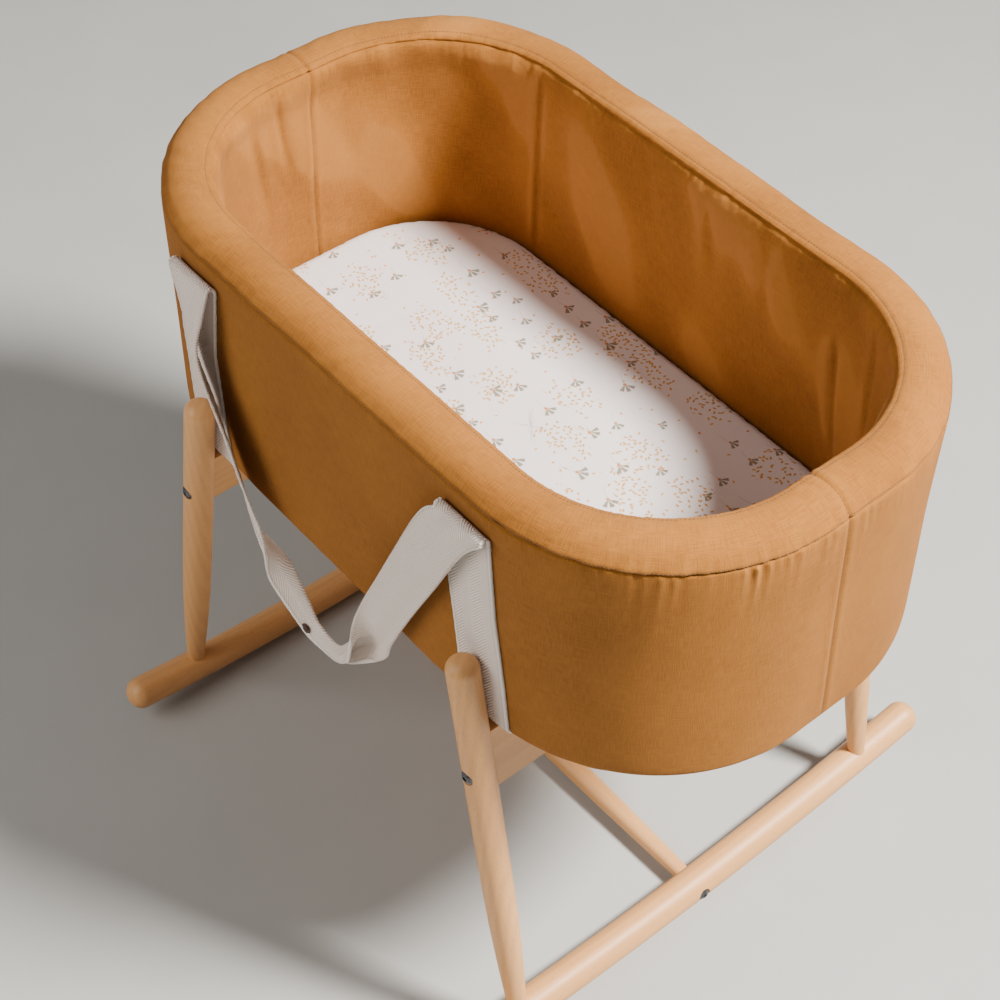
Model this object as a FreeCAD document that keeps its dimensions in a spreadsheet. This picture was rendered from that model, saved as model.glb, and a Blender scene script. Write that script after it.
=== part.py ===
import FreeCAD, Part
import math
import os
import Sketcher

# Bassinet on a rocking stand: a padded fabric basket that rests on two crossbars between beech legs.
# Frame: origin on the floor under the middle of the object, +X along the basket towards its foot end,
# -Y towards the front side, +Z up. Millimetres.

SIZES = {
    # stand
    "rocker_radius": 19,
    "rocker_half_length": 352,
    "rocker_end_lift": 22.7,
    "rocker_end_rounding": 16,
    "rocker_x": 298,
    "leg_radius": 16,
    "leg_foot_radius": 10,
    "leg_y": 257.5,
    "leg_splay": 10.8,
    "leg_socket_depth": 22,
    "leg_taper_length": 215,
    "leg_top_z": 542,
    "leg_top_rounding": 13.5,
    "crossbar_thickness": 22,
    "crossbar_low_z": 382,
    "crossbar_top_z": 452,
    "bolt_z": 401,
    "dowel_z": 434,
    "dowel_radius": 4,
    "dowel_half_length": 13,
    "stretcher_radius": 13.5,
    "stretcher_end_radius": 9.2,
    "stretcher_socket_depth": 6,
    "stretcher_straight_end": 12,
    "glue_gap": 0.05,
    # fasteners
    "bolt_radius": 3,
    "bolt_hole_radius": 3.3,
    "bolt_head_radius": 7.4,
    "bolt_head_height": 4,
    "bolt_head_rim": 1,
    "bolt_length": 56,
    "bolt_socket_radius": 2.9,
    "bolt_socket_depth": 2.4,
    "spotface_radius": 8,
    "spotface_depth": 2.2,
    "insert_radius": 5,
    "insert_bore_radius": 3.06,
    "insert_length": 20,
    "insert_recess": 1,
    "bolt_tip_room": 14,
    # basket
    "wall_half_length": 411,
    "wall_half_width": 238,
    "wall_corner_radius": 200,
    "wall_thickness": 50.5,
    "wall_top_z": 728,
    "cloth": 1.5,
    "layer_gap": 0.1,
    "outer_padding_thickness": 12,
    "wall_board_thickness": 4,
    "base_z": 455,
    "base_board_thickness": 9,
    # rim
    "rim_half_length": 397,
    "rim_half_width": 234,
    "rim_corner_radius": 198,
    "rim_height": 14.4,
    "rim_radius": 20.4,
    "rim_outer_inset": 12,
    "rim_inner_inset": 21,
    # mattress
    "mattress_clearance": 7,
    "mattress_height": 43,
    # webbing
    "webbing_width": 62,
    "webbing_thickness": 2.4,
    "sling_wall_gap": 0.2,
    "sling_base_gap": 0.2,
    "sling_top_x": 190,
    "sling_foot_x": 216,
    "sling_top_z": 699.5,
    # handle, seen from the front
    "fold_z": 700,
    "fold_y": 246.6,
    "fold_radius": 5.4,
    "grip_thickness": 5.6,
    "grip_width": 32,
    "snap_radius": 6.4,
    "snap_height": 1.8,
    "snap_post_radius": 2,
    "snap_x": -52,
    "snap_z": 334,
}

X_AXIS = FreeCAD.Vector(1, 0, 0)
Y_AXIS = FreeCAD.Vector(0, 1, 0)
Z_AXIS = FreeCAD.Vector(0, 0, 1)

doc = FreeCAD.newDocument("bassinet")
sheet = doc.addObject("Spreadsheet::Sheet", "sizes")
for row, (alias, number) in enumerate(SIZES.items(), start=1):
    sheet.set(f"A{row}", alias)
    sheet.set(f"B{row}", str(number))
    sheet.setAlias(f"B{row}", alias)
doc.recompute()

nodes = []


# ---- helpers -------------------------------------------------------------------------------------

def size(alias):
    return f"sizes.{alias}"


def value(expression):
    """The number that an expression gives with the sheet's present sizes."""
    result = sheet.evalExpression(str(expression))
    return float(getattr(result, "Value", result))


def keep(item):
    """Mark an object as a sub-part, which is written to a file named by its Label."""
    nodes.append(item)
    return item


def add(kind, label):
    item = doc.addObject(kind, label)
    item.Label = label
    return item


def new_body(label):
    return add("PartDesign::Body", label)


def new_sketch(body, name, role, offset="0"):
    """A sketch on one of the body's origin planes, moved along that plane's normal by offset."""
    sketch = body.newObject("Sketcher::SketchObject", f"{body.Name}_{name}")
    plane = next(item for item in body.Origin.OriginFeatures if item.Role == role)
    sketch.AttachmentSupport = [(plane, "")]
    sketch.MapMode = "FlatFace"
    sketch.setExpression("AttachmentOffset.Base.z", offset)
    return sketch


def bind_datum(sketch, constraint, expression):
    index = sketch.addConstraint(constraint)
    sketch.setExpression(f"Constraints[{index}]", expression)


def fix_point(sketch, geometry, point, across, up):
    """Tie a point of the sketch to the origin by its two coordinates, given as expressions."""
    for kind, axis, expression in (("DistanceX", -2, across), ("DistanceY", -1, up)):
        number = value(expression)
        if abs(number) < 1e-9:
            sketch.addConstraint(Sketcher.Constraint("PointOnObject", geometry, point, axis))
        else:
            constraint = Sketcher.Constraint(kind, -1, 1, geometry, point, number)
            bind_datum(sketch, constraint, expression)


def add_circle(sketch, across, up, radius):
    centre = FreeCAD.Vector(value(across), value(up), 0)
    circle = sketch.addGeometry(Part.Circle(centre, Z_AXIS, value(radius)), False)
    fix_point(sketch, circle, 3, across, up)
    bind_datum(sketch, Sketcher.Constraint("Radius", circle, value(radius)), radius)


def add_outline(sketch, corners):
    """A closed outline. Each corner is (across, up) or (across, up, radius, side), where the last two
    make the edge that leaves it an arc, its centre to the left (1) or right (-1) of the way travelled."""
    points = [FreeCAD.Vector(value(corner[0]), value(corner[1]), 0) for corner in corners]
    edges = []
    for index, corner in enumerate(corners):
        start = points[index]
        end = points[(index + 1) % len(points)]
        if len(corner) == 2:
            edge = sketch.addGeometry(Part.LineSegment(start, end), False)
            edges.append((edge, 1, 2))
            continue
        radius = value(corner[2])
        side = corner[3]
        chord = end - start
        to_left = FreeCAD.Vector(-chord.y, chord.x, 0).normalize()
        rise = math.sqrt(radius ** 2 - chord.Length ** 2 / 4)
        centre = (start + end) * 0.5 + to_left * (side * rise)
        first, last = (start, end) if side > 0 else (end, start)
        angles = [math.atan2(p.y - centre.y, p.x - centre.x) for p in (first, last)]
        arc = Part.ArcOfCircle(Part.Circle(centre, Z_AXIS, radius), *angles)
        edge = sketch.addGeometry(arc, False)
        edges.append((edge, 1, 2) if side > 0 else (edge, 2, 1))
        bind_datum(sketch, Sketcher.Constraint("Radius", edge, radius), corner[2])
    for index, (edge, start_point, end_point) in enumerate(edges):
        following, next_start, _ = edges[(index + 1) % len(edges)]
        sketch.addConstraint(Sketcher.Constraint("Coincident", edge, end_point, following, next_start))
        fix_point(sketch, edge, start_point, corners[index][0], corners[index][1])


def add_rounded_rectangle(sketch, half_length, half_width, radius):
    """A rectangle with round corners about the sketch's origin, from three expressions."""
    length, width, corner = (value(item) for item in (half_length, half_width, radius))
    inner_x = length - corner
    inner_y = width - corner
    sides = [
        ((length, -inner_y), (length, inner_y)),
        ((inner_x, width), (-inner_x, width)),
        ((-length, inner_y), (-length, -inner_y)),
        ((-inner_x, -width), (inner_x, -width)),
    ]
    centres = [(inner_x, inner_y), (-inner_x, inner_y), (-inner_x, -inner_y), (inner_x, -inner_y)]
    chain = []
    for quarter in range(4):
        start, end = (FreeCAD.Vector(*point, 0) for point in sides[quarter])
        chain.append(sketch.addGeometry(Part.LineSegment(start, end), False))
        circle = Part.Circle(FreeCAD.Vector(*centres[quarter], 0), Z_AXIS, corner)
        first = quarter * math.pi / 2
        chain.append(sketch.addGeometry(Part.ArcOfCircle(circle, first, first + math.pi / 2), False))
    for index, edge in enumerate(chain):
        following = chain[(index + 1) % len(chain)]
        sketch.addConstraint(Sketcher.Constraint("Tangent", edge, 2, following, 1))
    for edge, direction in zip(chain[::2], ("Vertical", "Horizontal", "Vertical", "Horizontal")):
        sketch.addConstraint(Sketcher.Constraint(direction, edge))
    for edge in chain[3::2]:
        sketch.addConstraint(Sketcher.Constraint("Equal", chain[1], edge))
    sketch.addConstraint(Sketcher.Constraint("Symmetric", chain[1], 3, chain[5], 3, -1, 1))
    bind_datum(sketch, Sketcher.Constraint("Radius", chain[1], corner), radius)
    across = Sketcher.Constraint("DistanceX", chain[4], 1, chain[0], 1, 2 * length)
    bind_datum(sketch, across, f"2 * ({half_length})")
    along = Sketcher.Constraint("DistanceY", chain[6], 1, chain[2], 1, 2 * width)
    bind_datum(sketch, along, f"2 * ({half_width})")


def pad(body, sketch, length, both_ways=False, reverse=False):
    feature = body.newObject("PartDesign::Pad", f"{sketch.Name}_pad")
    feature.Profile = sketch
    feature.setExpression("Length", length)
    feature.Midplane = both_ways
    feature.Reversed = reverse
    return feature


def pocket(body, sketch, length, both_ways=False, reverse=False):
    feature = body.newObject("PartDesign::Pocket", f"{sketch.Name}_pocket")
    feature.Profile = sketch
    feature.setExpression("Length", length)
    feature.Midplane = both_ways
    feature.Reversed = reverse
    return feature


def revolve(body, sketch, axis="V_Axis"):
    feature = body.newObject("PartDesign::Revolution", f"{sketch.Name}_turn")
    feature.Profile = sketch
    feature.ReferenceAxis = (sketch, [axis])
    feature.Angle = 360
    return feature


def round_edges(body, feature, radius, wanted):
    """Fillet those edges of a feature for which wanted(edge) is true."""
    doc.recompute()
    names = [f"Edge{i}" for i, edge in enumerate(feature.Shape.Edges, start=1) if wanted(edge)]
    fillet = body.newObject("PartDesign::Fillet", f"{body.Name}_rounding")
    fillet.Base = (feature, names)
    fillet.setExpression("Radius", radius)
    return fillet


def place(item, x="0", y="0", z="0", axis=Z_AXIS, angle="0"):
    item.Placement = FreeCAD.Placement(FreeCAD.Vector(0, 0, 0), FreeCAD.Rotation(axis, 1))
    item.setExpression("Placement.Base.x", x)
    item.setExpression("Placement.Base.y", y)
    item.setExpression("Placement.Base.z", z)
    item.setExpression("Placement.Rotation.Angle", angle)


def tool_cylinder(label, radius, height, **where):
    cylinder = add("Part::Cylinder", label)
    cylinder.setExpression("Radius", radius)
    cylinder.setExpression("Height", height)
    place(cylinder, **where)
    return cylinder


def cut(label, base, tools):
    """The base with all the tools taken away."""
    joined = add("Part::MultiFuse", f"{label}_tools")
    joined.Shapes = tools
    result = add("Part::Cut", label)
    result.Base = base
    result.Tool = joined
    return result


def mirrored(source, label, normal):
    """A copy of source on the other side of the plane through the origin with this normal."""
    copy = add("Part::Mirroring", label)
    copy.Source = source
    copy.Normal = normal
    return copy


def group(label, members):
    """Several equal pieces as one sub-part."""
    compound = add("Part::Compound", label)
    compound.Links = members
    return compound


def four_corners(source, label):
    """The source at the front foot corner and its mirror images at the three other corners."""
    other_end = mirrored(source, f"{label}_front_head", X_AXIS)
    other_side = mirrored(source, f"{label}_back_foot", Y_AXIS)
    diagonal = mirrored(other_end, f"{label}_back_head", Y_AXIS)
    return group(label, [source, other_end, other_side, diagonal])


# ---- stand: rockers, legs, crossbars and stretcher -----------------------------------------------

ARC_RADIUS = f"({size('rocker_half_length')}^2 / (2 * {size('rocker_end_lift')}))"
SPLAY = f"({size('leg_splay')} * 1deg)"
LEG_FOOT_Z = (
    f"(2 * {size('rocker_radius')} + {ARC_RADIUS}"
    f" - sqrt({ARC_RADIUS}^2 - {size('leg_y')}^2))"
)
LEG_BASE_Z = f"({LEG_FOOT_Z} - {size('leg_socket_depth')} * cos({SPLAY}))"
LEG_BASE_X = f"({size('rocker_x')} + {size('leg_socket_depth')} * sin({SPLAY}))"


def leg_x(height):
    """Expression for where the axis of a foot-end leg is at a height above the floor."""
    return f"({size('rocker_x')} - tan({SPLAY}) * ({height} - {LEG_FOOT_Z}))"


def along_leg(height):
    """Expression for how far up the leg's own axis a height above the floor is."""
    return f"(({height} - {LEG_BASE_Z}) / cos({SPLAY}))"


def make_rockers():
    """Round bars bent to one arc, so that they roll on the floor, with round ends."""
    bar = new_body("rocker_bar")
    section = new_sketch(bar, "section", "XZ_Plane")
    add_circle(section, "0", size("rocker_radius"), size("rocker_radius"))
    centre_height = value(f"{size('rocker_radius')} + {ARC_RADIUS}")
    ends = [FreeCAD.Vector(x, centre_height, 0) for x in (-10, 10)]
    axis = section.addGeometry(Part.LineSegment(*ends), True)
    section.addConstraint(Sketcher.Constraint("Horizontal", axis))
    fix_point(section, axis, 1, "-10", f"{size('rocker_radius')} + {ARC_RADIUS}")
    bind_datum(section, Sketcher.Constraint("Distance", axis, 20), "20")
    bend = bar.newObject("PartDesign::Revolution", "rocker_bend")
    bend.Profile = section
    bend.ReferenceAxis = (section, ["Axis0"])
    bend.setExpression("Angle", f"2 * asin({size('rocker_half_length')} / {ARC_RADIUS})")
    bend.Midplane = True
    radius = value(size("rocker_radius"))

    def at_an_end(edge):
        return abs(edge.Length - 2 * math.pi * radius) < 0.5 and edge.BoundBox.YLength < radius

    round_edges(bar, bend, size("rocker_end_rounding"), at_an_end)
    place(bar, x=size("rocker_x"))
    tools = [
        tool_cylinder(
            f"rocker_leg_socket_{name}",
            f"{size('leg_foot_radius')} + {size('glue_gap')}",
            f"{size('leg_socket_depth')} * 2",
            x=LEG_BASE_X, y=f"{sign} * {size('leg_y')}", z=LEG_BASE_Z, axis=-Y_AXIS, angle=SPLAY,
        )
        for name, sign in (("front", -1), ("back", 1))
    ]
    inner_face = f"({size('rocker_x')} - {size('rocker_radius')})"
    outer_face = f"({size('rocker_x')} + {size('rocker_radius')})"
    across = dict(z=size("rocker_radius"), axis=Y_AXIS, angle="90deg")
    tools.append(tool_cylinder(
        "rocker_stretcher_socket", f"{size('stretcher_end_radius')} + {size('glue_gap')}",
        f"2 * {size('stretcher_socket_depth')}",
        x=f"{inner_face} - {size('stretcher_socket_depth')}", **across))
    tools.append(tool_cylinder(
        "rocker_bolt_hole", size("bolt_hole_radius"), f"3 * {size('rocker_radius')}",
        x=inner_face, **across))
    tools.append(tool_cylinder(
        "rocker_spotface", size("spotface_radius"), f"2 * {size('spotface_depth')}",
        x=f"{outer_face} - {size('spotface_depth')}", **across))
    foot = keep(cut("rocker_foot", bar, tools))
    keep(mirrored(foot, "rocker_head", X_AXIS))


def make_legs():
    """Turned legs: straight above, tapering below to a round foot that is glued into the rocker."""
    leg = new_body("leg_front_foot")
    profile = new_sketch(leg, "profile", "XZ_Plane")
    length = along_leg(size("leg_top_z"))
    taper_end = f"({size('leg_socket_depth')} + {size('leg_taper_length')})"
    narrowing = f"({size('leg_radius')} - {size('leg_foot_radius')})"
    taper_radius = f"(({size('leg_taper_length')}^2 + {narrowing}^2) / (2 * {narrowing}))"
    add_outline(profile, [
        ("0", "0"),
        (size("leg_foot_radius"), "0"),
        (size("leg_foot_radius"), size("leg_socket_depth"), taper_radius, 1),
        (size("leg_radius"), taper_end),
        (size("leg_radius"), length),
        ("0", length),
    ])
    turned = revolve(leg, profile)
    top = value(length)
    rounded = round_edges(
        leg, turned, size("leg_top_rounding"),
        lambda edge: edge.BoundBox.ZMin > top - 0.01 and edge.BoundBox.XLength > 1)
    hole = new_sketch(leg, "bolt_hole", "XZ_Plane")
    add_circle(hole, "0", along_leg(size("bolt_z")), size("bolt_hole_radius"))
    pocket(leg, hole, f"3 * {size('leg_radius')}", both_ways=True)
    spotface = new_sketch(leg, "spotface", "XZ_Plane", f"{size('leg_radius')} - {size('spotface_depth')}")
    add_circle(spotface, "0", along_leg(size("bolt_z")), size("spotface_radius"))
    pocket(leg, spotface, size("leg_radius"), reverse=True)
    dowel_hole = new_sketch(leg, "dowel_hole", "XZ_Plane",
                            f"{size('dowel_half_length')} - {size('leg_radius')}")
    add_circle(dowel_hole, "0", along_leg(size("dowel_z")), f"{size('dowel_radius')} + {size('glue_gap')}")
    pocket(leg, dowel_hole, f"2 * {size('leg_radius')}")
    doc.recompute()
    if leg.Shape.Volume > rounded.Shape.Volume - 1500:
        raise RuntimeError("the leg's holes cut nothing")
    place(leg, x=LEG_BASE_X, y=f"-{size('leg_y')}", z=LEG_BASE_Z, axis=-Y_AXIS, angle=SPLAY)
    keep(leg)
    head = keep(mirrored(leg, "leg_front_head", X_AXIS))
    keep(mirrored(leg, "leg_back_foot", Y_AXIS))
    keep(mirrored(head, "leg_back_head", Y_AXIS))


def make_crossbars():
    """Flat bars that lean with the legs and carry the basket, with ends that fit round the legs."""
    bar = new_body("crossbar_blank")
    section = new_sketch(bar, "section", "XZ_Plane")
    half = f"({size('crossbar_thickness')} / 2 / cos({SPLAY}))"
    low = size("crossbar_low_z")
    top = size("crossbar_top_z")
    add_outline(section, [
        (f"{leg_x(low)} - {half}", low),
        (f"{leg_x(low)} + {half}", low),
        (f"{leg_x(top)} + {half}", top),
        (f"{leg_x(top)} - {half}", top),
    ])
    pad(bar, section, f"2 * {size('leg_y')}", both_ways=True)
    tools = []
    along_y = dict(axis=X_AXIS, angle="90deg")
    insert_room = f"({size('insert_length')} + {size('insert_recess')})"
    inner_side = f"({size('leg_y')} - {size('leg_radius')})"
    for name, sign in (("front", -1), ("back", 1)):
        tools.append(tool_cylinder(
            f"crossbar_leg_{name}", f"{size('leg_radius')} + {size('glue_gap')}",
            along_leg(size("leg_top_z")),
            x=LEG_BASE_X, y=f"{sign} * {size('leg_y')}", z=LEG_BASE_Z, axis=-Y_AXIS, angle=SPLAY))
        for hole, radius, depth, height in (
            ("insert", f"{size('insert_radius')} + {size('glue_gap')}", insert_room, size("bolt_z")),
            ("tip", size("bolt_hole_radius"), f"({insert_room} + {size('bolt_tip_room')})", size("bolt_z")),
            ("dowel", f"{size('dowel_radius')} + {size('glue_gap')}", f"({size('dowel_half_length')} + 1)",
             size("dowel_z")),
        ):
            start = f"{depth} - {inner_side}" if sign < 0 else f"{inner_side} + 4"
            tools.append(tool_cylinder(
                f"crossbar_{hole}_hole_{name}", radius, f"{depth} + 4",
                x=leg_x(height), y=start, z=height, **along_y))
    foot = keep(cut("crossbar_foot", bar, tools))
    keep(mirrored(foot, "crossbar_head", X_AXIS))


def make_stretcher():
    """A turned rail between the rocker middles, thickest at its middle, bored for an insert at each end."""
    rail = new_body("stretcher")
    profile = new_sketch(rail, "profile", "XZ_Plane")
    half = f"({size('rocker_x')} - {size('rocker_radius')} + {size('stretcher_socket_depth')} - 0.2)"
    belly = f"({half} - {size('stretcher_straight_end')})"
    swell = f"({size('stretcher_radius')} - {size('stretcher_end_radius')})"
    belly_radius = f"(({belly}^2 + {swell}^2) / (2 * {swell}))"
    insert_end = f"({half} - {size('insert_length')} - {size('insert_recess')})"
    bore_end = f"({insert_end} - {size('bolt_tip_room')})"
    insert_wall = f"({size('insert_radius')} + {size('glue_gap')})"
    right = [
        (bore_end, "0"),
        (bore_end, size("bolt_hole_radius")),
        (insert_end, size("bolt_hole_radius")),
        (insert_end, insert_wall),
        (half, insert_wall),
        (half, size("stretcher_end_radius")),
        (belly, size("stretcher_end_radius"), belly_radius, 1),
    ]
    left = [(f"-1 * {corner[0]}", corner[1]) for corner in reversed(right)]
    add_outline(profile, right + left)
    revolve(rail, profile, "H_Axis")
    place(rail, z=size("rocker_radius"))
    keep(rail)


# ---- fasteners -----------------------------------------------------------------------------------

def make_bolt(label):
    """A round-headed bolt with a hexagon socket; its head stands on the XY plane, its shank hangs below."""
    bolt = new_body(label)
    profile = new_sketch(bolt, "profile", "XZ_Plane")
    dome = f"({size('bolt_head_height')} - {size('bolt_head_rim')})"
    dome_radius = f"(({size('bolt_head_radius')}^2 + {dome}^2) / (2 * {dome}))"
    add_outline(profile, [
        ("0", f"-{size('bolt_length')}"),
        (size("bolt_radius"), f"-{size('bolt_length')}"),
        (size("bolt_radius"), "0"),
        (size("bolt_head_radius"), "0"),
        (size("bolt_head_radius"), size("bolt_head_rim"), dome_radius, 1),
        ("0", size("bolt_head_height")),
    ])
    turned = revolve(bolt, profile)
    socket = new_sketch(bolt, "socket", "XY_Plane", size("bolt_head_height"))
    corners = [math.radians(60 * step) for step in range(6)]
    add_outline(socket, [
        (f"{size('bolt_socket_radius')} * {math.cos(a):.6f}",
         f"{size('bolt_socket_radius')} * {math.sin(a):.6f}")
        for a in corners
    ])
    pocket(bolt, socket, size("bolt_socket_depth"))
    doc.recompute()
    if bolt.Shape.Volume > turned.Shape.Volume - 20:
        raise RuntimeError("the bolt's socket cuts nothing")
    return bolt


def make_insert(label):
    """A threaded sleeve, its mouth on the XY plane and its body below."""
    insert = new_body(label)
    ring = new_sketch(insert, "ring", "XY_Plane")
    add_circle(ring, "0", "0", size("insert_radius"))
    add_circle(ring, "0", "0", size("insert_bore_radius"))
    pad(insert, ring, size("insert_length"), reverse=True)
    return insert


def make_fasteners():
    """Bolts and inserts: through each leg into a crossbar, and through each rocker into the stretcher."""
    toward_front = dict(axis=X_AXIS, angle="90deg")
    toward_foot = dict(axis=Y_AXIS, angle="90deg")
    seat = f"({size('leg_y')} + {size('leg_radius')} - {size('spotface_depth')})"
    bolt = make_bolt("crossbar_bolt")
    place(bolt, x=leg_x(size("bolt_z")), y=f"-{seat}", z=size("bolt_z"), **toward_front)
    keep(four_corners(bolt, "crossbar_bolts"))
    insert = make_insert("crossbar_insert")
    mouth = f"({size('leg_y')} - {size('leg_radius')} - {size('insert_recess')})"
    place(insert, x=leg_x(size("bolt_z")), y=f"-{mouth}", z=size("bolt_z"), **toward_front)
    keep(four_corners(insert, "crossbar_inserts"))
    dowel = tool_cylinder(
        "crossbar_dowel", size("dowel_radius"), f"2 * {size('dowel_half_length')}",
        x=leg_x(size("dowel_z")),
        y=f"-({size('leg_y')} - {size('leg_radius')} - {size('dowel_half_length')})",
        z=size("dowel_z"), **toward_front)
    keep(four_corners(dowel, "crossbar_dowels"))
    end_bolt = make_bolt("stretcher_bolt")
    seat = f"({size('rocker_x')} + {size('rocker_radius')} - {size('spotface_depth')})"
    place(end_bolt, x=seat, z=size("rocker_radius"), **toward_foot)
    keep(group("stretcher_bolts", [end_bolt, mirrored(end_bolt, "stretcher_bolt_head", X_AXIS)]))
    end_insert = make_insert("stretcher_insert")
    mouth = (
        f"({size('rocker_x')} - {size('rocker_radius')} + {size('stretcher_socket_depth')}"
        f" - {size('insert_recess')} - 0.2)"
    )
    place(end_insert, x=mouth, z=size("rocker_radius"), **toward_foot)
    keep(group("stretcher_inserts", [end_insert, mirrored(end_insert, "stretcher_insert_head", X_AXIS)]))


# ---- basket --------------------------------------------------------------------------------------

def inset_outline(sketch, inset):
    """The basket wall's outer outline, moved inwards."""
    add_rounded_rectangle(
        sketch,
        f"{size('wall_half_length')} - {inset}",
        f"{size('wall_half_width')} - {inset}",
        f"{size('wall_corner_radius')} - {inset}")


def make_plate(label, inset, low, thickness):
    plate = new_body(label)
    outline = new_sketch(plate, "outline", "XY_Plane", low)
    inset_outline(outline, inset)
    pad(plate, outline, thickness)
    return plate


def make_ring(label, outer_inset, inner_inset, low, top):
    ring = new_body(label)
    outline = new_sketch(ring, "outline", "XY_Plane", low)
    inset_outline(outline, outer_inset)
    inset_outline(outline, inner_inset)
    pad(ring, outline, f"{top} - {low}")
    return ring


def keep_halves(ring, label):
    """Split a ring at the two end seams into its front half and its back half."""
    for side, origin in (("front", f"-{size('wall_half_width')} * 1.5"), ("back", "0")):
        room = add("Part::Box", f"{label}_{side}_room")
        room.setExpression("Length", f"3 * {size('wall_half_length')}")
        room.setExpression("Width", f"1.5 * {size('wall_half_width')}")
        room.setExpression("Height", f"1.5 * {size('wall_top_z')}")
        place(room, x=f"-1.5 * {size('wall_half_length')}", y=origin)
        half = add("Part::Common", f"{label}_{side}")
        half.Base = ring
        half.Tool = room
        keep(half)


def make_walls():
    """Layers of the padded wall, from the outer cover to the lining, each a closed ring."""
    gap = size("layer_gap")
    cloth = size("cloth")
    board_z = f"({size('base_z')} + {cloth} + {gap})"
    on_board = f"({board_z} + {size('base_board_thickness')} + {gap})"
    top = size("wall_top_z")
    below_rim = f"({top} - {gap})"
    cover_inside = f"({cloth} + {gap})"
    padding_inside = f"({cover_inside} + {size('outer_padding_thickness')})"
    board_inside = f"({padding_inside} + {gap} + {size('wall_board_thickness')})"
    lining_outside = f"({size('wall_thickness')} - {cloth})"
    keep_halves(make_ring("outer_cover", "0", cloth, size("base_z"), below_rim), "outer_cover")
    keep(make_plate("base_cover", cover_inside, size("base_z"), cloth))
    keep(make_plate("base_board", cover_inside, board_z, size("base_board_thickness")))
    keep(make_ring("outer_padding", cover_inside, padding_inside, on_board, below_rim))
    keep(make_ring("wall_board", f"({padding_inside} + {gap})", board_inside, on_board, below_rim))
    keep(make_ring(
        "inner_padding", f"({board_inside} + {gap})", f"({lining_outside} - {gap})", on_board, below_rim))
    keep_halves(make_ring("lining", lining_outside, size("wall_thickness"), on_board, below_rim), "lining")


def rim_corners(growth, low):
    """The rim roll's section, grown outwards: a round outer side, a flat crown and a round inner side."""
    radius = f"({size('rim_radius')} + {growth})"
    outer_x = f"({size('rim_half_length')} - {size('rim_outer_inset')})"
    inner_x = f"({size('rim_half_length')} - {size('rim_inner_inset')})"
    middle_z = f"({size('wall_top_z')} + {size('rim_height')} - {size('rim_radius')})"
    reach = f"sqrt({radius}^2 - ({middle_z} - {low})^2)"
    crown = f"({middle_z} + {radius})"
    return [
        (f"{outer_x} + {reach}", low, radius, 1),
        (outer_x, crown),
        (inner_x, crown, radius, 1),
        (f"{inner_x} - {reach}", low),
    ]


def reversed_corners(corners):
    """The same open run of corners travelled the other way, each arc kept between its two corners."""
    run = []
    for index in range(len(corners) - 1, -1, -1):
        arc = corners[index - 1][2:] if index > 0 else ()
        turned = (arc[0], -arc[1]) if arc else ()
        run.append(corners[index][:2] + turned)
    return run


def sweep_round_rim(label, corners):
    """A closed roll: the section swept once round the rim line."""
    roll = new_body(label)
    path = new_sketch(roll, "path", "XY_Plane", size("wall_top_z"))
    add_rounded_rectangle(path, size("rim_half_length"), size("rim_half_width"), size("rim_corner_radius"))
    section = new_sketch(roll, "section", "XZ_Plane")
    add_outline(section, corners)
    sweep = roll.newObject("PartDesign::AdditivePipe", f"{label}_sweep")
    sweep.Profile = section
    sweep.Spine = (path, [])
    return roll


def make_rim():
    """A foam roll on the wall's top edge and the band of cloth round it."""
    keep(sweep_round_rim("rim_foam", rim_corners("0", size("wall_top_z"))))
    gap = size("layer_gap")
    outside = rim_corners(f"({size('cloth')} + {gap})", size("wall_top_z"))
    inside = rim_corners(gap, size("wall_top_z"))
    band = sweep_round_rim("rim_cover", outside + reversed_corners(inside))
    keep_halves(band, "rim_cover")


def make_mattress():
    """A foam mattress and the sheet that fits over its top and sides."""
    inset = f"({size('wall_thickness')} + {size('mattress_clearance')})"
    low = (
        f"({size('base_z')} + {size('cloth')} + {size('base_board_thickness')} + 4 * {size('layer_gap')})"
    )
    cloth = size("cloth")
    core_inset = f"({inset} + {cloth} + {size('layer_gap')})"
    core_height = f"({size('mattress_height')} - {cloth} - {size('layer_gap')})"
    keep(make_plate("mattress_core", core_inset, low, core_height))
    sheet_body = make_plate("fitted_sheet", inset, low, size("mattress_height"))
    hollow = new_sketch(sheet_body, "hollow", "XY_Plane", low)
    inset_outline(hollow, f"({inset} + {cloth})")
    pocket(sheet_body, hollow, f"{size('mattress_height')} - {cloth}", reverse=True)
    doc.recompute()
    if sheet_body.Shape.Volume > 0.5 * doc.getObject("mattress_core").Shape.Volume:
        raise RuntimeError("the sheet is not hollow")
    keep(sheet_body)


# ---- webbing -------------------------------------------------------------------------------------

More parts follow.
